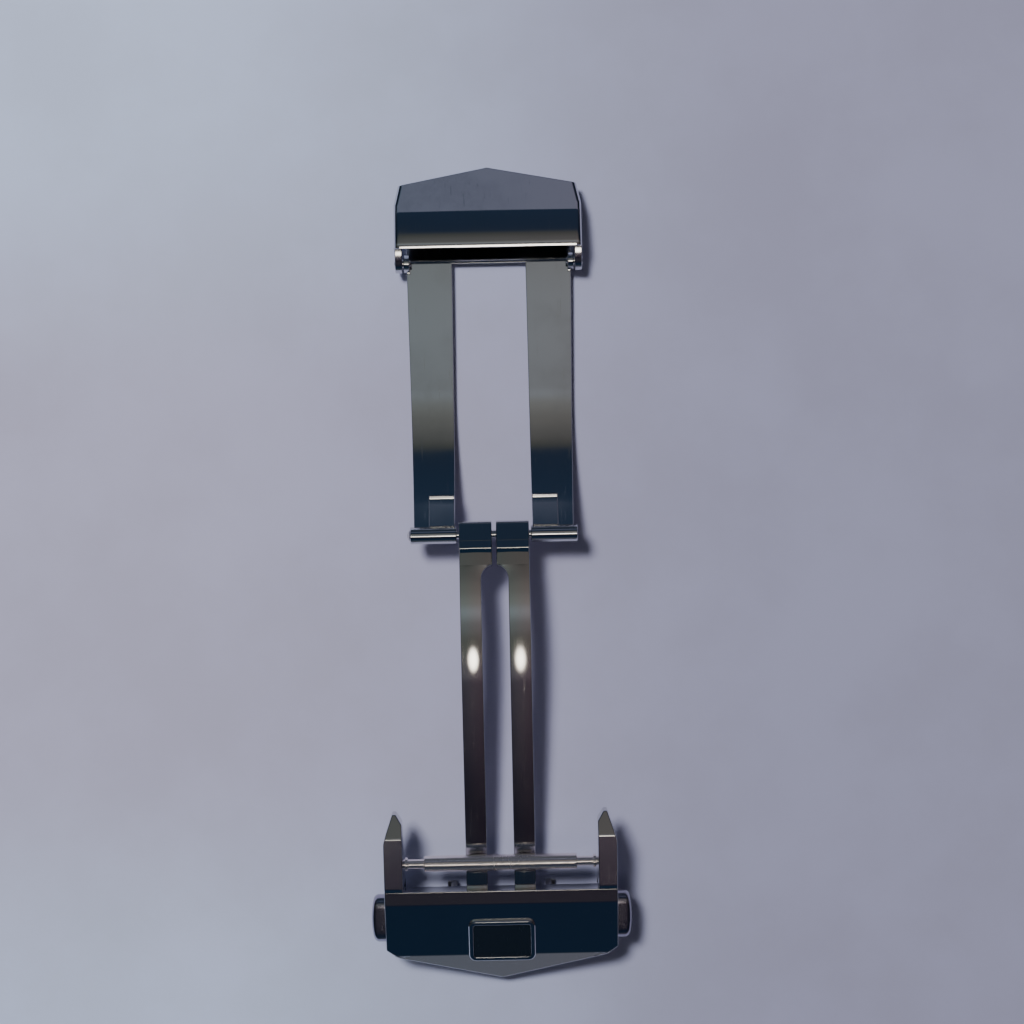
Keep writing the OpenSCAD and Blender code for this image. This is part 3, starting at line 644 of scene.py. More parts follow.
bend = bend_path(0, -90, BEND_STATIONS)
flat_run = np.linspace(flat_y, window_y + INTO_PLATE, FLAT_STATIONS)
flat = np.stack([flat_run, np.full(FLAT_STATIONS, FRAME_T / 2)], axis=-1)
blade_run = np.concatenate([bend, flat[1:]])
blade_inner = np.interp(blade_run[:, 0], [MID[0], window_y], [WINDOW_HALF + WAIST_IN, WINDOW_HALF])
blade_outer = np.interp(blade_run[:, 0], [MID[0], window_y], [FRAME_HALF - WAIST_OUT, FRAME_HALF])
wide_blade = bent_sheet(blade_run, blade_inner, blade_outer, FRAME_T - 2 * SEAM, columns=13)
# Half of a tab's sheet is sunk in the blade, and its end lifts a little by a parabola that runs on straight
tab_path = bend_path(FRAME_T / 2, bend_angle(TAB_LEN), TAB_STATIONS)
tab_run = np.linspace(INTO_KNUCKLE, TAB_LEN, TAB_STATIONS)
into_lift = np.clip(tab_run - (TAB_LEN - TAB_LIFT_RUN), 0, None)
eased = np.minimum(into_lift, TAB_LIFT_EASE)
tab_path[:, 1] += TAB_LIFT_RATE * eased * (2 * into_lift - eased)
tab_in = WINDOW_HALF + WAIST_IN
tab = bent_sheet(tab_path, tab_in, tab_in + TAB_W, 2 * TAB_T)
frame_knuckle = barrel(WINDOW_HALF, FRAME_HALF, PIN_R, KNUCKLE_R, MID)

# %% End plate with its catches, and the clamp's ears
CORNER_RUN = 32.6
FRAME_POINT = 1.6
NOTCH_IN = 3.3
NOTCH_OUT = 4.8
CATCH_OUT = 5.2
CATCH_Z = 0.4
GRIP_RUN = 1.65
GRIP_DROP = 0.28
EAR_OUT = 7.95
EAR_T = 0.55
EAR_R = 0.85
EAR_LOW = 0.05

corner_y = MID[0] + CORNER_RUN


def node_points(node):
    """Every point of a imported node's mesh, in mm."""
    vertices = frame["nodes"][node].data.vertices
    points = np.empty(len(vertices) * 3)
    vertices.foreach_get("co", points)
    return points.reshape(-1, 3) / MM


frame_points = node_points("outer_frame")
on_catch = np.abs(frame_points[:, 2] - CATCH_Z) < MERGE
notch_y = frame_points[on_catch, 1].min()
print("catches reach back to y = %.2f mm" % notch_y)


def end_plate():
    """Carried across x: a section in (y, z) from the window to the pointed front. The front is cut back to
    the notch over its whole height between the notch's sides, and only above the catch's floor beside it.
    Next to the window the top slopes down to a low step under the lever, which grips the strap's end."""
    sides = [0, NOTCH_IN, NOTCH_IN, NOTCH_OUT, NOTCH_OUT, CATCH_OUT, CATCH_OUT, FRAME_HALF]
    low_cut = [False, False, True, True, False, False, False, False]
    high_cut = [False, False, True, True, True, True, False, False]
    x = np.array([-value for value in sides[:0:-1]] + sides)
    low_cut = np.array(low_cut[:0:-1] + low_cut)
    high_cut = np.array(high_cut[:0:-1] + high_cut)
    front = corner_y + FRAME_POINT * (1 - np.abs(x) / FRAME_HALF)
    low_y = np.where(low_cut, notch_y, front)
    high_y = np.where(high_cut, notch_y, front)
    back_y = np.full(len(x), window_y)
    grip_y = back_y + GRIP_RUN
    y = np.stack([back_y, low_y, low_y, high_y, high_y, grip_y + GRIP_DROP, grip_y, back_y], axis=-1)
    z = np.broadcast_to([0, 0, CATCH_Z, CATCH_Z, FRAME_T, FRAME_T, FRAME_T - GRIP_DROP, FRAME_T], y.shape)
    return skin(np.stack([np.broadcast_to(x[:, None], y.shape), y, z], axis=-1))


ear_outline = np.concatenate([
    [(CLAMP[0] + EAR_R, EAR_LOW)], arc(CLAMP, EAR_R, 0, 180, count=33), [(CLAMP[0] - EAR_R, EAR_LOW)],
])
frame_ear = plate(ear_outline, EAR_OUT - EAR_T, EAR_OUT)
frame_sides = on_both_sides(wide_blade, tab, frame_knuckle, frame_ear)
make_piece("frame_leaf", "outer_frame", [end_plate(), *frame_sides])

# %% [markdown]
# ## Pins of the hinges
# Pins are turned on a lathe, so each is a profile of (x, radius) pairs spun about its axis. The mid hinge
# pin has a domed head on the left, and the clamp's two pivots end in low domes where they were peened over.

# %% Pins
PIN_HEAD_R = 0.65
HEAD_SINK = 0.35
DOME = 0.08
PIVOT_IN = 7.25
PIVOT_OUT = 8.83
HINGE_PIN_HALF = 9.7
SPACER_IN = 3.35
SPACER_OUT = 8.95
SPACER_GAP = 0.01
SPACER_WALL = 0.35
# A dome's profile stops this short of its pole, where a small flat face closes it
SHORT_OF_POLE_DEG = 2


def domed_end(x, radius, rise, count=6):
    """Profile of a low dome that starts at x with the given radius and rises outwards: (x, radius) pairs on
    a quarter of an ellipse."""
    angle = np.radians(np.linspace(0, 90 - SHORT_OF_POLE_DEG, count))
    return np.stack([x + rise * np.sin(angle), radius * np.cos(angle)], axis=-1)


def domed_pin(x0, x1, radius, rise):
    """Profile of a pin with a low dome at each end."""
    right = domed_end(x1 - rise, radius, rise)
    left = domed_end(x0 + rise, radius, -rise)[::-1]
    return np.concatenate([left, right])


head_turn = np.linspace(math.radians(SHORT_OF_POLE_DEG), math.acos(HEAD_SINK / PIN_HEAD_R), num=12)
head_x = HEAD_SINK - FRAME_HALF - PIN_HEAD_R * np.cos(head_turn)
head = np.stack([head_x, PIN_HEAD_R * np.sin(head_turn)], axis=-1)
shank = [(-FRAME_HALF, PIN_R), (FRAME_HALF - DOME, PIN_R)]
mid_pin = turned(np.concatenate([head, shank, domed_end(FRAME_HALF - DOME, PIN_R, DOME)[1:]]), MID)
make_piece("mid_pin", "mid_hinge_pin", [mid_pin])
pivot = turned(domed_pin(PIVOT_IN, PIVOT_OUT, PIN_R, DOME), CLAMP)
make_piece("clamp_pivot_pins", "clamp_pivots", on_both_sides(pivot))
cover_pin = turned(domed_pin(-HINGE_PIN_HALF, HINGE_PIN_HALF, PIN_R, DOME), COVER)
make_piece("cover_pin", "cover_hinge_pin", [cover_pin])
spacer = barrel(SPACER_IN, SPACER_OUT, PIN_R + SPACER_GAP, PIN_R + SPACER_WALL, COVER)
make_piece("spacer_tubes", "hinge_spacers", on_both_sides(spacer))

# %% [markdown]
# ## The two narrow blades
# Each narrow blade runs from a fat knuckle over a long bend and then straight down to the cover's hinge.
# The sheet is rolled round the pin, lapped back over itself and pressed flat on top. The slot between the
# blades ends in a half circle, so the inner edge follows a circle there. Their tops are very slightly
# crowned by polishing, which is why they mirror the lamp as a short blob and not as a stripe.

# %% Narrow blades
BLADE_T = 1.0
BLADE_HALF = 3.25
SLOT_HALF = 1.25
SLIT_HALF = 0.2
SLOT_END_RUN = 2.9
RISE_DEG = 18.0
FALL_DEG = 8.0
STRAIGHT = 23.15
BLADE_KNUCKLE_R = 1.25
KNUCKLE_TOP = 0.85
LAP_FRONT = 0.3
LAP_RUN = 1.6
LAP_END = 1.96
LAP_LOW = 0.45
SWELL_RUN = 3.7
SWELL_RATE = 0.017
EYE_R = 0.92
CROWN = 0.04
# The sheet stops this far from each hinge's axis, inside its knuckle
SHEET_STOP = 0.6
# Where the slot's round end has closed in to the slit, and how far beyond it the next station is
SLOT_ROUND_DEG = 80.8
SLOT_STEP = 0.05

fall = math.radians(FALL_DEG)
along_fall = np.array([math.cos(fall), math.sin(fall)])
across_fall = np.array([-math.sin(fall), math.cos(fall)])
straight_start = COVER + STRAIGHT * along_fall
crest_centre = straight_start - BEND_R * across_fall
slot_end_y = MID[0] - SLOT_END_RUN - SLOT_HALF
slot_round_y = slot_end_y + SLOT_HALF * np.sin(np.radians(np.linspace(0, SLOT_ROUND_DEG, num=24)))
slit_y = np.linspace(MID[0] - SHEET_STOP, slot_round_y[-1] + SLOT_STEP, num=12)
crest_y = np.linspace(slot_end_y - 2 * SLOT_STEP, straight_start[0], num=50)
bend_y = np.concatenate([slit_y, slot_round_y[::-1], crest_y])
bend_z = crest_centre[1] + np.sqrt(BEND_R ** 2 - (bend_y - crest_centre[0]) ** 2)
reach = np.linspace(STRAIGHT, SHEET_STOP, num=60)[1:, None]
blade_path = np.concatenate([np.stack([bend_y, bend_z], axis=-1), COVER + reach * along_fall])
# Behind the knuckle the blade's top swells by a parabola, which straightens the bend there
swell = SWELL_RATE * np.clip(blade_path[:, 0] - (MID[0] - SWELL_RUN), 0, None) ** 2
blade_path[:, 1] += swell / 2
past_end = np.clip(blade_path[:, 0] - slot_end_y, 0, SLOT_HALF)
inner_edge = np.maximum(SLIT_HALF, np.sqrt(SLOT_HALF ** 2 - past_end ** 2))


def pressed_knuckle(bore, sides=96, least=0.01):
    """A knuckle pressed flat on top along the slope, in rings at its bore and its outside. The outside's
    distance from the axis is the circle's radius or, if less, the flat's height over the cosine from the
    flat's normal. The cosine is kept above a least value, where the circle is the nearer one anyway."""
    angle = np.linspace(0, 2 * np.pi, sides, endpoint=False)
    toward_flat = np.maximum(np.cos(angle - np.radians(90 - RISE_DEG)), least)
    outside = np.minimum(BLADE_KNUCKLE_R, KNUCKLE_TOP / toward_flat)
    inside = np.full(sides, bore)
    x = np.broadcast_to(np.array([SLIT_HALF, SLIT_HALF, BLADE_HALF, BLADE_HALF])[:, None], (4, sides))
    away = np.stack([inside, outside, outside, inside])
    rings = np.stack([x, MID[0] + away * np.cos(angle), MID[1] + away * np.sin(angle)], axis=-1)
    return skin(rings, round_trip=True)


rise = math.radians(RISE_DEG)
slope_axes = np.array([[math.cos(rise), -math.sin(rise)], [math.sin(rise), math.cos(rise)]])
lap_top = KNUCKLE_TOP - SEAM
lap_corners = np.array([(LAP_FRONT, lap_top), (-LAP_RUN, lap_top), (-LAP_END, LAP_LOW), (LAP_FRONT, LAP_LOW)])
blade = [
    bent_sheet(blade_path, inner_edge, BLADE_HALF, BLADE_T - CROWN + swell, CROWN, columns=13),
    pressed_knuckle(PIN_R + PIN_GAP),
    plate(MID + lap_corners @ slope_axes, SLIT_HALF + SEAM, BLADE_HALF - SEAM),
    barrel(SLOT_HALF, BLADE_HALF, PIN_R + PIN_GAP, EYE_R, COVER),
]
make_piece("right_narrow_blade", "right_inner_blade", blade)
make_piece("left_narrow_blade", "left_inner_blade", [mirrored(shape) for shape in blade])

# %% [markdown]
# ## The clamp lever
# The lever is a bent plate with a pointed front, a flat sloped face, a crease, and a back that rolls over
# towards the strap. Its side section is one closed outline, and the front of that outline follows the point
# across x. The back's slope falls steadily, and the height is the running sum of that slope.

# %% Clamp lever
LEVER_T = 0.7
LEVER_HALF = 8.35
LEVER_CORNER_RUN = 32.75
LEVER_POINT = 1.65
LEVER_SLOPE_DEG = 19.0
LEVER_FLAT_RUN = 4.35
LEVER_TIP_Z = 1.65
BACK_RUN = [0.0, 1.7, 2.82, 3.18, 3.42]
BACK_SLOPE_DEG = [13.0, 9.0, 5.5, -8.0, -12.5]
LEVER_EAR_IN = 8.05
LEVER_EAR_OUT = 8.75
LEVER_EAR_R = 0.9
SIDE_ROUND = 0.45
EAR_TOP = 0.55
EAR_FRONT = 0.8
EAR_BACK = 0.3
EAR_DROP = 0.25
EAR_FOOT = 0.35
EAR_WRAP_DEG = (-90, -249)
BACK_STATIONS = 60

lever_corner_y = MID[0] + LEVER_CORNER_RUN
tip_y = lever_corner_y + LEVER_POINT
front_slope = math.tan(math.radians(LEVER_SLOPE_DEG))
crease = np.array([tip_y - LEVER_FLAT_RUN, LEVER_TIP_Z + LEVER_FLAT_RUN * front_slope])
back_run = np.linspace(0, BACK_RUN[-1], BACK_STATIONS)
back_slope = np.tan(np.radians(np.interp(back_run, BACK_RUN, BACK_SLOPE_DEG)))
back_rise = np.concatenate([[0], np.cumsum((back_slope[1:] + back_slope[:-1]) / 2 * np.diff(back_run))])
back_top = crease + np.stack([-back_run, back_rise], axis=-1)
back_normal = np.stack([back_slope, np.ones_like(back_slope)], axis=-1)
back_normal /= np.sqrt(1 + back_slope[:, None] ** 2)
back_under = back_top - LEVER_T * back_normal
back_section = np.concatenate([back_top, back_under[::-1]])


def lever_sheet(columns=81, rows=24):
    """Carried across u, from -1 to 1. The section's front ends at the lever's pointed plan, so the flat
    face's points are the crease plus a share of the way to the point at that u, up the slope; the back's
    points are the same all over. x is u times the half width at that y, and the top rounds off by a quarter
    circle at the sides."""
    across = np.sin(np.linspace(-1, 1, columns) * np.pi / 2)
    front = lever_corner_y + LEVER_POINT * (1 - np.abs(across))
    share = np.linspace(1, 0, rows, endpoint=False)
    face_y = crease[0] + (front[:, None] - crease[0]) * share
    face_z = crease[1] - (face_y - crease[0]) * front_slope
    drop = LEVER_T / math.cos(math.radians(LEVER_SLOPE_DEG))
    back = np.broadcast_to(back_section, (columns, *back_section.shape))
    y = np.concatenate([face_y, back[..., 0], face_y[:, ::-1]], axis=1)
    z = np.concatenate([face_z, back[..., 1], face_z[:, ::-1] - drop], axis=1)
    half = np.interp(y, [crease[0] + EAR_FRONT, lever_corner_y], [LEVER_EAR_OUT, LEVER_HALF])
    into_round = np.clip(np.abs(across[:, None]) * half - (half - SIDE_ROUND), 0, SIDE_ROUND)
    on_top = np.arange(y.shape[1]) < rows + BACK_STATIONS
    z = z - np.where(on_top, SIDE_ROUND - np.sqrt(SIDE_ROUND ** 2 - into_round ** 2), 0)
    return skin(np.stack([across[:, None] * half, y, z], axis=-1))


lever_ear_outline = np.concatenate([
    arc(CLAMP, LEVER_EAR_R, *EAR_WRAP_DEG, count=40),
    [back_top[-1] + (EAR_BACK, -EAR_TOP), crease + (0, -EAR_TOP)],
    [crease + (EAR_FRONT, -EAR_TOP - EAR_DROP), (crease[0], CLAMP[1] + EAR_FOOT)],
])
lever_ear = plate(lever_ear_outline, LEVER_EAR_IN, LEVER_EAR_OUT - SEAM)
make_piece("clamp_plate", "clamp_lever", [lever_sheet(), *on_both_sides(lever_ear)])

# %% [markdown]
# ## The cover
# The cover is a casting: a top with a flat strip, a sloped main face and a pointed rear facet, side walls
# with a pocket for each button, and a room below for the latches. Its section changes all the way across,
# from a thin shell in the middle to a solid side wall, but it always has thirteen corners. So one outline
# of thirteen sides, each cut into equal steps, is carried across x. At each end it closes in on the
# button's pocket.

# %% Cover body
HALF_GAP = 9.0
HALF_COVER = 10.75
LIP_Y = 4.15
FACE_Y = 2.85
CORNER_Y = -2.3
POINT_Y = -5.2
POINT_H = 0.65
ROUND_FROM = 9.6
ROUND_TO = -1.75
LIP_FOOT_Y = 3.75
TOP_H = 3.3
REAR_H = 2.3
SKIRT_H = -1.35
STOP_H = 0.56
COVER_T = 0.85
LIP_T = 0.6
ROOM_CORNER_Y = -1.35
ROOM_POINT_Y = -4.0
POCKET = (1.15, 1.5)
POCKET_LEN = 4.56
POCKET_H = 2.01
POCKET_FLOOR = 9.35
SIDE_STEPS = [16, 4, 14, 6, 16, 4, 3, 5, 3, 9, 3, 5, 4]
CEILING_POINT_H = 0.15
KEEL_POINT_H = -0.3
# Corners that only divide a solid wall's lower edge
EDGE_MIDDLE_Y = (-1.0, -0.6)
EDGE_FRONT_Y = 3.3
SHELL_STATIONS = 19
WALL_STATIONS = 5


def roof(y):
    """Height of the cover's outside at y: strip, main face, rear facet."""
    return np.interp(y, [POINT_Y, CORNER_Y, FACE_Y], [POINT_H, REAR_H, TOP_H])


def ceiling(y):
    """Height of the room's ceiling at y, one wall below the roof."""
    heights = [CEILING_POINT_H, REAR_H - COVER_T, TOP_H - COVER_T]
    return np.interp(y, [POINT_Y, CORNER_Y, FACE_Y], heights)


def keel(y):
    """Height of the side walls' lower edge at y, rising towards the point."""
    return np.interp(y, [POINT_Y, CORNER_Y], [KEEL_POINT_H, SKIRT_H])


def cover_corners(x, solid):
    """The section's thirteen corners (y, h) at each x: outside from the lip over the roof to the keel, then
    inside round the room, or along the lower edge where the wall is solid."""
    straight = CORNER_Y + (POINT_Y - CORNER_Y) * (1 - ROUND_FROM / HALF_COVER)
    rear = np.interp(np.abs(x), [0, ROUND_FROM, HALF_COVER], [POINT_Y, straight, ROUND_TO])
    room = np.interp(np.abs(x), [0, HALF_GAP], [ROOM_POINT_Y, ROOM_CORNER_Y])
    facet = np.maximum(CORNER_Y, rear)
    lip_in = LIP_Y - LIP_T
    low = np.minimum(CORNER_Y, room)
    high = np.maximum(CORNER_Y, room)
    inner_y = [low, room, room, high, FACE_Y, lip_in, lip_in, LIP_FOOT_Y]
    under_strip = TOP_H - COVER_T
    inner_h = [keel(low), keel(room), ceiling(room), ceiling(high), under_strip, under_strip, STOP_H, STOP_H]
    edge_y = [facet, ROOM_CORNER_Y, *EDGE_MIDDLE_Y, FACE_Y, EDGE_FRONT_Y, lip_in, LIP_Y]
    y = [np.where(solid, edge, inner) for edge, inner in zip(edge_y, inner_y)]
    h = [np.where(solid, SKIRT_H, inner) for inner in inner_h]
    level = np.ones(len(x))
    y = [y[-1], LIP_Y * level, FACE_Y * level, facet, rear, rear] + y[:-1]
    h = [h[-1], roof(y[1]), roof(y[2]), roof(facet), roof(rear), keel(rear)] + h[:-1]
    return np.stack([np.stack(y, axis=-1), np.stack(h, axis=-1)], axis=-1)


def subdivide(corners, steps):
    """A closed outline's sides cut into equal steps: a corner plus shares of the way to the next one."""
    way = np.roll(corners, -1, axis=-2) - corners
    sides = [
        corners[..., side:side + 1, :] + way[..., side:side + 1, :] * (np.arange(count) / count)[:, None]
        for side, count in enumerate(steps)
    ]
    return np.concatenate(sides, axis=-2)


def oblong_facing(outline, centre, length, height, least=1e-6):
    """Where rays from a centre towards an outline's points cross an oblong. On a flat side the distance is
    the half height over the ray's sine, which is kept above a least value. On a round end it solves the
    circle about that end's centre."""
    ray = outline - centre
    ray = ray / np.linalg.norm(ray, axis=-1, keepdims=True)
    radius = height / 2
    middle = (length - height) / 2
    flat = radius / np.maximum(np.abs(ray[:, 1]), least)
    under_root = np.maximum(radius ** 2 - (middle * ray[:, 1]) ** 2, 0)
    curved = middle * np.abs(ray[:, 0]) + np.sqrt(under_root)
    away = np.where(flat * np.abs(ray[:, 0]) <= middle, flat, curved)
    return centre + ray * away[:, None]


def on_cover(shape):
    """Turns a skin from the cover's own directions, along its hinge's straight blades, into the model's."""
    points, faces = shape
    x, along, high = points.T
    y = COVER[0] + along * math.cos(fall) - high * math.sin(fall)
    z = COVER[1] + along * math.sin(fall) + high * math.cos(fall)
    return np.stack([x, y, z], axis=-1), faces


shell_x = np.linspace(0, HALF_GAP, SHELL_STATIONS)
wall_x = np.linspace(HALF_GAP, HALF_COVER, WALL_STATIONS)
half_x = np.concatenate([shell_x, wall_x])
half_solid = np.arange(len(half_x)) >= SHELL_STATIONS
cover_x = np.concatenate([-half_x[:0:-1], half_x])
cover_solid = np.concatenate([half_solid[:0:-1], half_solid])
sections = subdivide(cover_corners(cover_x, cover_solid), SIDE_STEPS)
pocket = oblong_facing(sections[-1], np.array(POCKET), POCKET_LEN, POCKET_H)
rings = np.concatenate([[pocket, pocket], sections, [pocket, pocket]])
ring_x = np.concatenate([[-POCKET_FLOOR, -HALF_COVER], cover_x, [HALF_COVER, POCKET_FLOOR]])
cover_points = np.concatenate([np.broadcast_to(ring_x[:, None, None], (*rings.shape[:2], 1)), rings], axis=-1)
cover_body = on_cover(skin(cover_points))

# %% [markdown]
# ## Lugs
# A lug runs forward from each side wall of the cover and holds one end of the spring bar. Its inside,
# outside, underside and top each bend at places of their own, down to a narrow tip. A block cut with
# booleans would give that form with untidy faces. So each of the four is a line through (y, x) or (y, h)
# pairs, and a rectangle that follows all four is carried along y.

# %% Lugs
LUG_START_Y = 3.2
LUG_TIP_Y = 11.25
LUG_INSIDE = [(10.35, HALF_GAP), (LUG_TIP_Y, 9.55)]
LUG_OUTSIDE = [(8.65, HALF_COVER), (9.55, 10.5), (LUG_TIP_Y, 9.9)]
LUG_UNDER = [(LIP_Y, SKIRT_H), (5.55, 0.65), (LUG_TIP_Y, 1.15)]
LUG_OVER = [(LIP_Y, TOP_H), (4.4, 3.38), (9.15, 3.19), (LUG_TIP_Y, 2.35)]


def lug():
    """Carried along y: a rectangle in (x, h). Each side is interpolated along its own line, with a station
    wherever a line bends."""
    lines = (LUG_INSIDE, LUG_OUTSIDE, LUG_UNDER, LUG_OVER)
    y = np.unique([LUG_START_Y] + [place for line in lines for place, _ in line])
    inside, outside, under, over = [np.interp(y, *zip(*line)) for line in lines]
    outside -= SEAM
    under += SEAM
    over -= SEAM
    x = np.stack([inside, outside, outside, inside], axis=-1)
    h = np.stack([under, under, over, over], axis=-1)
    return skin(np.stack([x, np.broadcast_to(y[:, None], x.shape), h], axis=-1))


lugs = [on_cover(shape) for shape in on_both_sides(lug())]
make_piece("cover_body", "cover_shell", [cover_body, *lugs], edge=0.1, crease_deg=9)

# %% [markdown]
# ## Buttons
# Each button is an oblong block with a gently domed outer face. The face is a part of a large ball, so each
# ring of the oblong, drawn in towards its middle, stands out a little further.

# %% Buttons
BUTTON_LEN = 4.5
BUTTON_H = 1.95
BUTTON_IN = 10.08
BUTTON_OUT = 12.05
BUTTON_CROWN_R = 9.0
BUTTON_ROUND = 0.4
BUTTON_INSETS = [0.5, 0.7, 0.9, 0.96]


def button(sides=72, round_steps=8):
    """Rings of one oblong, each drawn in by some distance. x is the ball's surface at the ring's distance
    from the middle, less what a quarter circle falls short near the edge; the first ring is the button's
    inner end."""
    angle = np.linspace(0, 2 * np.pi, sides, endpoint=False)
    around = np.stack([np.cos(angle), np.sin(angle)], axis=-1)
    turn = np.linspace(0, np.pi / 2, round_steps)
    drawn_in = np.concatenate([[0], BUTTON_ROUND * (1 - np.cos(turn)), BUTTON_INSETS])
    fall_short = np.concatenate([[0], BUTTON_ROUND * (1 - np.sin(turn)), np.zeros(len(BUTTON_INSETS))])
    spread = np.stack([
        oblong_facing(around, np.zeros(2), BUTTON_LEN - 2 * inset, BUTTON_H - 2 * inset) for inset in drawn_in
    ])
    away = (spread ** 2).sum(axis=-1)
    x = BUTTON_OUT - BUTTON_CROWN_R + np.sqrt(BUTTON_CROWN_R ** 2 - away) - fall_short[:, None]
    x[0] = BUTTON_IN
    return skin(np.concatenate([x[..., None], spread + POCKET], axis=-1))


right_button_shape = on_cover(button())
make_piece("right_push_button", "right_button", [right_button_shape], edge=0.04)
make_piece("left_push_button", "left_button", [mirrored(right_button_shape)], edge=0.04)

# %% [markdown]
# ## Spring bar
# The strap's loop goes round a thin tube. Two pins stand out of its ends, pushed by a spring inside, and
# each pin has a shoulder that a tool can catch to draw it in.

# %% Spring bar
TUBE_R = 0.75
TUBE_HALF = 7.05
SHANK_R = 0.45
SHANK_IN = 3.55
SHANK_END = 8.95
SHOULDER_R = 0.63
SHOULDER = (8.55, 8.8)
BAR_TIP_R = 0.38
BAR_TIP_END = 9.95

bar_tube = barrel(-TUBE_HALF, TUBE_HALF, SHANK_R + PIN_GAP, TUBE_R, BAR)
make_piece("bar_tube", "spring_bar_tube", [bar_tube], edge=0.1)
pin_profile = [
    (SHANK_IN, SHANK_R), (SHOULDER[0], SHANK_R), (SHOULDER[0], SHOULDER_R), (SHOULDER[1], SHOULDER_R),
    (SHOULDER[1], SHANK_R), (SHANK_END, SHANK_R), (SHANK_END, BAR_TIP_R), (BAR_TIP_END - DOME, BAR_TIP_R),
    *domed_end(BAR_TIP_END - DOME, BAR_TIP_R, DOME)[1:],
]
right_pin = turned(pin_profile, BAR)
make_piece("right_bar_end_pin", "right_bar_pin", [right_pin], edge=0.03)
make_piece("left_bar_end_pin", "left_bar_pin", [mirrored(right_pin)], edge=0.03)

# %% [markdown]
# ## Springs
# A compression spring is a round wire on a helix. Each point of the wire's centre turns about the axis while
# x grows evenly, and a small circle is carried square to it. The spring inside the bar is drawn as two halves
# that meet in the middle.

# %% Springs
WIRE_R = 0.055
LATCH_SPRING_IN = 1.2
LATCH_SPRING_OUT = 4.15
LATCH_SPRING_R = 0.24
BAR_SPRING_R = 0.32
SPRING_TURNS = 11
WIRE_EDGE = 0.005
WIRE_CREASE_DEG = 80


def coil(x0, x1, radius, axis, per_turn=28, sides=8):
    """Wire on a helix about an axis along X. Its centre grows evenly in x and turns at the radius, by the
    cosine and sine of the angle. Round it lies a circle, spanned by the outward direction and the one
    square to it and to the run."""
    angle = np.linspace(0, 2 * np.pi * SPRING_TURNS, per_turn * SPRING_TURNS + 1)
    outward = np.stack([np.zeros_like(angle), np.cos(angle), np.sin(angle)], axis=-1)
    centre = radius * outward + (0, *axis)
    centre[:, 0] = np.linspace(x0, x1, len(angle))
    run = np.gradient(centre, axis=0)
    run /= np.linalg.norm(run, axis=1, keepdims=True)
    square = np.cross(run, outward)
    turn = np.linspace(0, 2 * np.pi, sides, endpoint=False)
    circle = np.cos(turn)[:, None] * outward[:, None] + np.sin(turn)[:, None] * square[:, None]
    return skin(centre[:, None] + WIRE_R * circle)


def wire_piece(name, node, wire):
    """A spring's piece, with edges small enough for its thin wire."""
    return make_piece(name, node, [wire], edge=WIRE_EDGE, crease_deg=WIRE_CREASE_DEG)


for side, flip in (("left", -1), ("right", 1)):
    node = side + "_latch_spring"
    low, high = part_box(node)
    middle = ((np.array(low) + np.array(high)) / 2)[1:] / MM
    wire = coil(LATCH_SPRING_IN + WIRE_R, LATCH_SPRING_OUT - WIRE_R, LATCH_SPRING_R, middle)
    spring = wire_piece(side + "_spring", node, wire if flip > 0 else mirrored(wire))
    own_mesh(spring)
half_coil = coil(0.0, SHANK_IN - WIRE_R, BAR_SPRING_R, BAR)
for side, wire in (("left", mirrored(half_coil)), ("right", half_coil)):
    spring = wire_piece(side + "_bar_spring", "spring_bar_coil", wire)
    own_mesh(spring)

# %% [markdown]
# ## Plaque
# A small plain plaque sits in the main face: a bright rim with chamfered edges round a dark lacquered
# field. The rim is a six-sided section carried round a rectangle with round corners.

# %% Plaque
PLAQUE_HALF = (3.1, 2.1)
PLAQUE_BACK = 0.8
PLAQUE_CORNER = 0.7
PLAQUE_SEAT = 0.3
PLAQUE_H = 0.3
PLAQUE_RIM = 0.45
PLAQUE_SINK = 0.15
CHAMFER = 0.1
LEAST_CORNER = 0.08

face_slope = math.atan((TOP_H - REAR_H) / (FACE_Y - CORNER_Y))


def round_rectangle(drawn_in, per_corner=10):
    """Points (x, u) of the plaque's outline, drawn in on all sides: four quarter circles, joined."""
    radius = max(PLAQUE_CORNER - drawn_in, LEAST_CORNER)
    angle = np.radians(np.linspace(0, 90, per_corner))
    turn = np.concatenate([angle + quarter * np.pi / 2 for quarter in range(4)])
    sign = np.repeat([(1, 1), (-1, 1), (-1, -1), (1, -1)], per_corner, axis=0)
    middle = sign * (np.array(PLAQUE_HALF) - drawn_in - radius)
    return middle + radius * np.stack([np.cos(turn), np.sin(turn)], axis=-1)


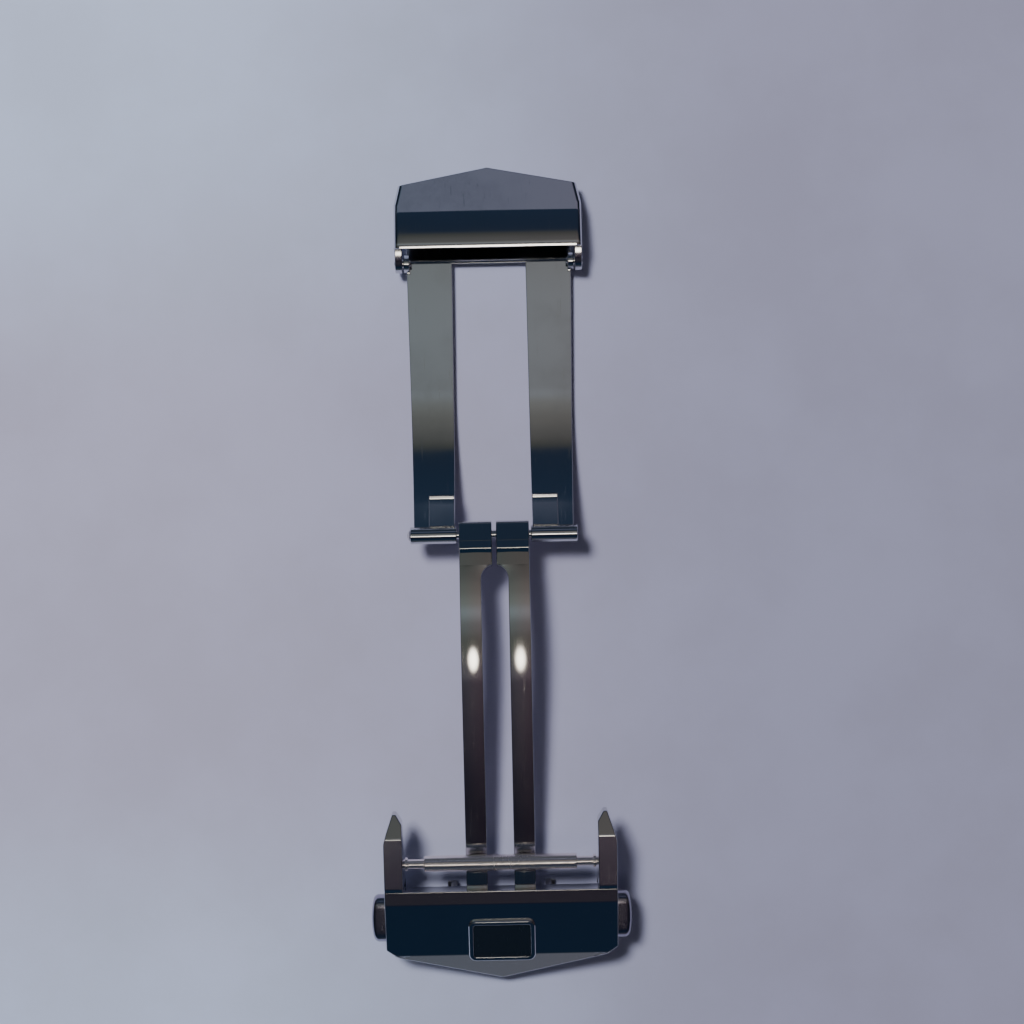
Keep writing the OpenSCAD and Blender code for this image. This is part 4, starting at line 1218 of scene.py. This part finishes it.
def plaque_rings(section):
    """One ring of the outline for each (drawn in, height) pair of a section, laid on the main face."""
    rings = []
    for drawn_in, high in section:
        x, u = round_rectangle(drawn_in).T
        y = u * math.cos(face_slope) - high * math.sin(face_slope) - PLAQUE_BACK
        h = u * math.sin(face_slope) + high * math.cos(face_slope) + roof(-PLAQUE_BACK)
        rings.append(np.stack([x, y, h], axis=-1))
    return np.stack(rings)


rim_section = [
    (SEAM, -PLAQUE_SEAT), (SEAM, PLAQUE_H - CHAMFER), (CHAMFER, PLAQUE_H),
    (PLAQUE_RIM - CHAMFER / 2, PLAQUE_H), (PLAQUE_RIM, PLAQUE_H - CHAMFER / 2), (PLAQUE_RIM, -PLAQUE_SEAT),
]
field_section = [(PLAQUE_RIM + SEAM, SEAM - PLAQUE_SEAT), (PLAQUE_RIM + SEAM, PLAQUE_H - PLAQUE_SINK)]
plaque_rim = on_cover(skin(plaque_rings(rim_section), round_trip=True))
plaque_field = on_cover(skin(plaque_rings(field_section)))
make_piece("plaque_rim", "plaque_rim_ring", [plaque_rim], edge=0.03)
make_piece("plaque_lacquer", "plaque_field", [plaque_field], edge=0.02)

# %% [markdown]
# ## Small pieces inside the cover
# The springs push against a small block, and a round boss on each of its ends keeps its spring in place.
# The sliders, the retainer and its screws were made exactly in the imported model. Each needs only its sharp
# edges broken, so a copy of its mesh is merged and bevelled.

# %% Spring block and soft copies of the inner pieces
BOSS_R = 0.15
BOSS_OUT = 1.65

from_hinge = node_points("spring_anchor")[:, 1:] - COVER
on_blades = from_hinge @ np.stack([along_fall, across_fall], axis=-1)
low = on_blades.min(axis=0)
high = on_blades.max(axis=0)
block = plate([low, (high[0], low[1]), high, (low[0], high[1])], -LATCH_SPRING_IN, LATCH_SPRING_IN)
boss = turned([(LATCH_SPRING_IN - SEAM, BOSS_R), (BOSS_OUT, BOSS_R)], (low + high) / 2)
anchor_shapes = [on_cover(shape) for shape in (block, *on_both_sides(boss))]
make_piece("spring_block", "spring_anchor", anchor_shapes, edge=0.05)
for node in ("latch_retainer", "retainer_screws", "left_latch", "right_latch"):
    soften(node)
